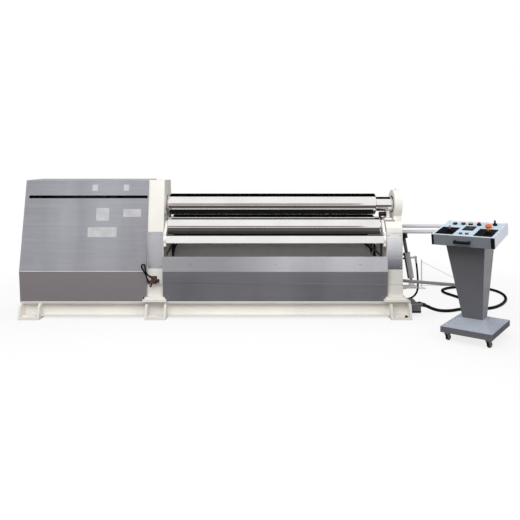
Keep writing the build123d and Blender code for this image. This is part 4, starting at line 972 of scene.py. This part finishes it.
mushroom = [
    (-0.0100, 0.0098, 0),
    (0.0130, 0.0098, 0),
    (0.0151, 0.0235, 0),
    (0.0162, 0.0262, 0),
    (0.0190, 0.0270, 0),
    (0.0230, 0.0267, 0),
    (0.0275, 0.0245, 0),
    (0.0310, 0.0195, 0),
    (0.0326, 0.0120, 0),
    (0.0329, 0.0040, 0),
]
piece = Piece("emergency_head", orange)
piece.turn(panel_point(emergency_place), panel_up, mushroom, segments=40)
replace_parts(piece.made("emergency_stop", "emergency_red"), "emergency_stop")

button_cap = [
    (-0.008, 0.0099, 0),
    (0.0152, 0.0099, 0),
    (0.0166, 0.0092, 0),
    (0.0170, 0.0080, 0),
    (0.0164, 0.0058, 0),
    (0.0161, 0.0020, 0),
]
for name, share, material in (("start_button", start_place, green), ("stop_button", stop_place, red)):
    piece = Piece(name + "_cap", material)
    piece.turn(panel_point(share), panel_up, button_cap)
    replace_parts(piece.made(name, "control_black"), name)

selector_high = 0.042
tip_shift = 0.0065
tip_rows = [(-0.0005, 0.0034, 0), (0.0006, 0.0034, 0), (0.0010, 0.0026, 0), (0.0011, 0.0010, 0)]
piece = Piece("selector_tip", hub)
tip = panel_point(selector_place, panel_top + selector_high)
for shift in (-tip_shift, tip_shift):
    piece.turn(tip + shift * panel_back, panel_up, tip_rows, segments=16)
piece.made("mode_selector", "control_black")

# Joysticks: a folded gaiter that stays where it is made, and a cap; blend_low and blend_high give heights on
# the stick that nothing uses
gaiter = [
    (0.0018, 0.0300, 0),
    (0.0042, 0.0297, 0),
    (0.0070, 0.0240, 0),
    (0.0098, 0.0266, 0),
    (0.0128, 0.0202, 0),
    (0.0158, 0.0226, 0),
    (0.0188, 0.0150, 0),
    (0.0218, 0.0168, 0),
    (0.0258, 0.0092, 0),
    (0.0320, 0.0066, 0),
]
stick_cap = [(-0.002, 0.0062, 0), (0.0004, 0.0062, 0), (0.0020, 0.0048, 0), (0.0026, 0.0018, 0)]
blend_low = 0.004
blend_high = 0.026
stick_high = 0.0555
gaiter_smooth = 60
for name, share in stick_places.items():
    piece = Piece(name + "_gaiter", rubber)
    piece.turn(panel_point(share), panel_up, gaiter, segments=32)
    made = piece.made(None, "control_black", gaiter_smooth)
    low = panel_point(share, panel_top + blend_low)
    high = panel_point(share, panel_top + blend_high)
    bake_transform(made)
    piece = Piece(name + "_cap", black)
    piece.turn(panel_point(share, panel_top + stick_high), panel_up, stick_cap, segments=20)
    piece.made(name, "control_black")

# Caster wheels with a grooved tread and a dished hub
axle_turn = yaw - radians(25)
axle = Vector((cos(axle_turn), sin(axle_turn), 0))
half_wheel = (
    (0.0090, 0.0050, 1),
    (0.0090, 0.0082, 1),
    (0.0066, 0.0090, 1),
    (0.0066, 0.0160, 1),
    (0.0084, 0.0170, 0),
    (0.0086, 0.0214, 0),
    (0.0066, 0.0243, 0),
    (0.0032, 0.0250, 0),
    (0.0022, 0.0246, 0),
)
for name in ("front_left", "front_right", "rear_left", "rear_right"):
    node = "caster_wheel_" + name
    low, high = (Vector(corner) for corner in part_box(node))
    left = [(-reach, radius, slot) for reach, radius, slot in half_wheel]
    piece = Piece("wheel_" + name, tyre, hub)
    piece.turn((low + high) / 2, axle, left + list(reversed(half_wheel)), segments=40)
    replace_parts(piece.made(node, "hose_rubber"), node)

# Grease nipple on top of the yoke
yoke_crown = (1.757, 0, 1.204)
nipple = [
    (-0.002, 0.0060, 0),
    (0.004, 0.0060, 0),
    (0.0045, 0.0036, 0),
    (0.009, 0.0036, 0),
    (0.011, 0.0022, 0),
    (0.012, 0.0030, 0),
    (0.014, 0.0016, 0),
]
piece = Piece("yoke_nipple", zinc)
piece.turn(yoke_crown, (0, 0, 1), nipple, segments=6)
piece.made("yoke", "machined_steel")


# Studio
def any_ray(tree, names):
    """One where any of the named kinds of ray looks, otherwise zero."""
    path = tree.nodes.new("ShaderNodeLightPath")
    total = path.outputs[names[0]]
    for name in names[1:]:
        larger = tree.nodes.new("ShaderNodeMath")
        larger.operation = "MAXIMUM"
        tree.links.new(total, larger.inputs[0])
        tree.links.new(path.outputs[name], larger.inputs[1])
        total = larger.outputs[0]
    return total


seen_rays = ("Is Camera Ray", "Is Glossy Ray", "Is Transmission Ray")

# The world is white where it is seen, and dimmer where it lights
world = bpy.data.worlds.new("studio")
world.use_nodes = True
scene.world = world
tree = world.node_tree
background = tree.nodes["Background"]
background.inputs["Color"].default_value = (1, 1, 1, 1)
level = tree.nodes.new("ShaderNodeMapRange")
level.inputs["To Min"].default_value = 0.45
level.inputs["To Max"].default_value = 1.0
tree.links.new(any_ray(tree, seen_rays), level.inputs["Value"])
tree.links.new(level.outputs["Result"], background.inputs["Strength"])


def card(name, size, location, rotation=(0, 0, 0)):
    mesh = bpy.data.meshes.new(name)
    w, h = size[0] / 2, size[1] / 2
    mesh.from_pydata([(-w, -h, 0), (w, -h, 0), (w, h, 0), (-w, h, 0)], [], [(0, 1, 2, 3)])
    made = bpy.data.objects.new(name, mesh)
    made.location = location
    made.rotation_euler = rotation
    scene.collection.objects.link(made)
    return made


def floor_shader():
    """Pale floor that keeps the shadow near the machine and turns white further off."""
    material = bpy.data.materials.new("floor")
    material.use_nodes = True
    tree = material.node_tree
    tree.nodes.remove(tree.nodes["Principled BSDF"])
    pale = tree.nodes.new("ShaderNodeBsdfDiffuse")
    pale.inputs["Color"].default_value = (0.86, 0.86, 0.85, 1)
    bounce = tree.nodes.new("ShaderNodeBsdfDiffuse")
    bounce.inputs["Color"].default_value = (0.3, 0.29, 0.28, 1)
    glow = tree.nodes.new("ShaderNodeEmission")
    coords = tree.nodes.new("ShaderNodeTexCoord")
    distance = tree.nodes.new("ShaderNodeVectorMath")
    distance.operation = "LENGTH"
    fade = tree.nodes.new("ShaderNodeMapRange")
    for name, value in (("From Min", 2.4), ("From Max", 4.2), ("To Min", 0.8), ("To Max", 1.0)):
        fade.inputs[name].default_value = value
    seen = tree.nodes.new("ShaderNodeMixShader")
    whole = tree.nodes.new("ShaderNodeMixShader")
    tree.links.new(coords.outputs["Object"], distance.inputs[0])
    tree.links.new(distance.outputs["Value"], fade.inputs["Value"])
    tree.links.new(fade.outputs["Result"], seen.inputs[0])
    tree.links.new(pale.outputs[0], seen.inputs[1])
    tree.links.new(glow.outputs[0], seen.inputs[2])
    tree.links.new(any_ray(tree, seen_rays), whole.inputs[0])
    tree.links.new(bounce.outputs[0], whole.inputs[1])
    tree.links.new(seen.outputs[0], whole.inputs[2])
    tree.links.new(whole.outputs[0], tree.nodes["Material Output"].inputs["Surface"])
    return material


floor = card("floor", (60, 60), (0.6, 0, 0))
floor.data.materials.append(floor_shader())

lying = (0, 0, 0)
standing = (radians(90), 0, 0)


def flag(name, size, location, rotation, colour):
    """A dark card that only polished metal sees, for the bands along the rolls."""
    made = card(name, size, location, rotation)
    material = bpy.data.materials.new(name)
    material.use_nodes = True
    tree = material.node_tree
    tree.nodes.remove(tree.nodes["Principled BSDF"])
    glow = tree.nodes.new("ShaderNodeEmission")
    glow.inputs["Color"].default_value = (*colour, 1)
    tree.links.new(glow.outputs[0], tree.nodes["Material Output"].inputs["Surface"])
    made.data.materials.append(material)
    made.visible_camera = False
    made.visible_diffuse = False
    made.visible_shadow = False
    made.visible_transmission = False


# The flags paint reflections: dark overhead and behind, painted shade in the trough and in the gap between
# the rolls, and tan from the floor and the front
flag("ceiling_flag", (16, 8.6), (0.4, 4.25, 3.6), lying, (0.003, 0.003, 0.003))
flag("rear_flag", (16, 3.6), (0.4, 8.5, 1.8), standing, (0.008, 0.008, 0.008))
flag("floor_flag", (16, 4.6), (0.4, -2.65, 0.002), lying, (0.115, 0.1, 0.1))
flag("front_flag", (5.2, 2.6), (0.5, -9, 1.3), standing, (0.34, 0.295, 0.275))
flag("trough_flag", (2.0, 0.54), (0.53, 0, 0.4), lying, (0.004, 0.004, 0.004))
flag("gap_flag", (2.0, 0.172), (0.53, -0.039, 0.9665), lying, (0.01, 0.01, 0.01))


def lamp(name, location, target, size, power):
    """An area lamp that looks at a target and shows in no reflection."""
    data = bpy.data.lights.new(name, "AREA")
    data.shape = "RECTANGLE"
    data.size, data.size_y = size
    data.energy = power
    made = bpy.data.objects.new(name, data)
    made.location = location
    way = Vector(target) - Vector(location)
    made.rotation_euler = way.to_track_quat("-Z", "Y").to_euler()
    made.visible_glossy = False
    scene.collection.objects.link(made)


lamp("key", (-1.0, -4.6, 4.2), target=(0.3, 0, 0.8), size=(5.0, 2.4), power=205)
lamp("fill", (4.6, -4.2, 2.6), target=(1.2, 0, 0.7), size=(2.5, 2.0), power=60)
lamp("top", (0.4, 0.6, 4.6), target=(0.4, 0, 0.6), size=(6.0, 3.0), power=80)

scene.view_settings.view_transform = "Standard"
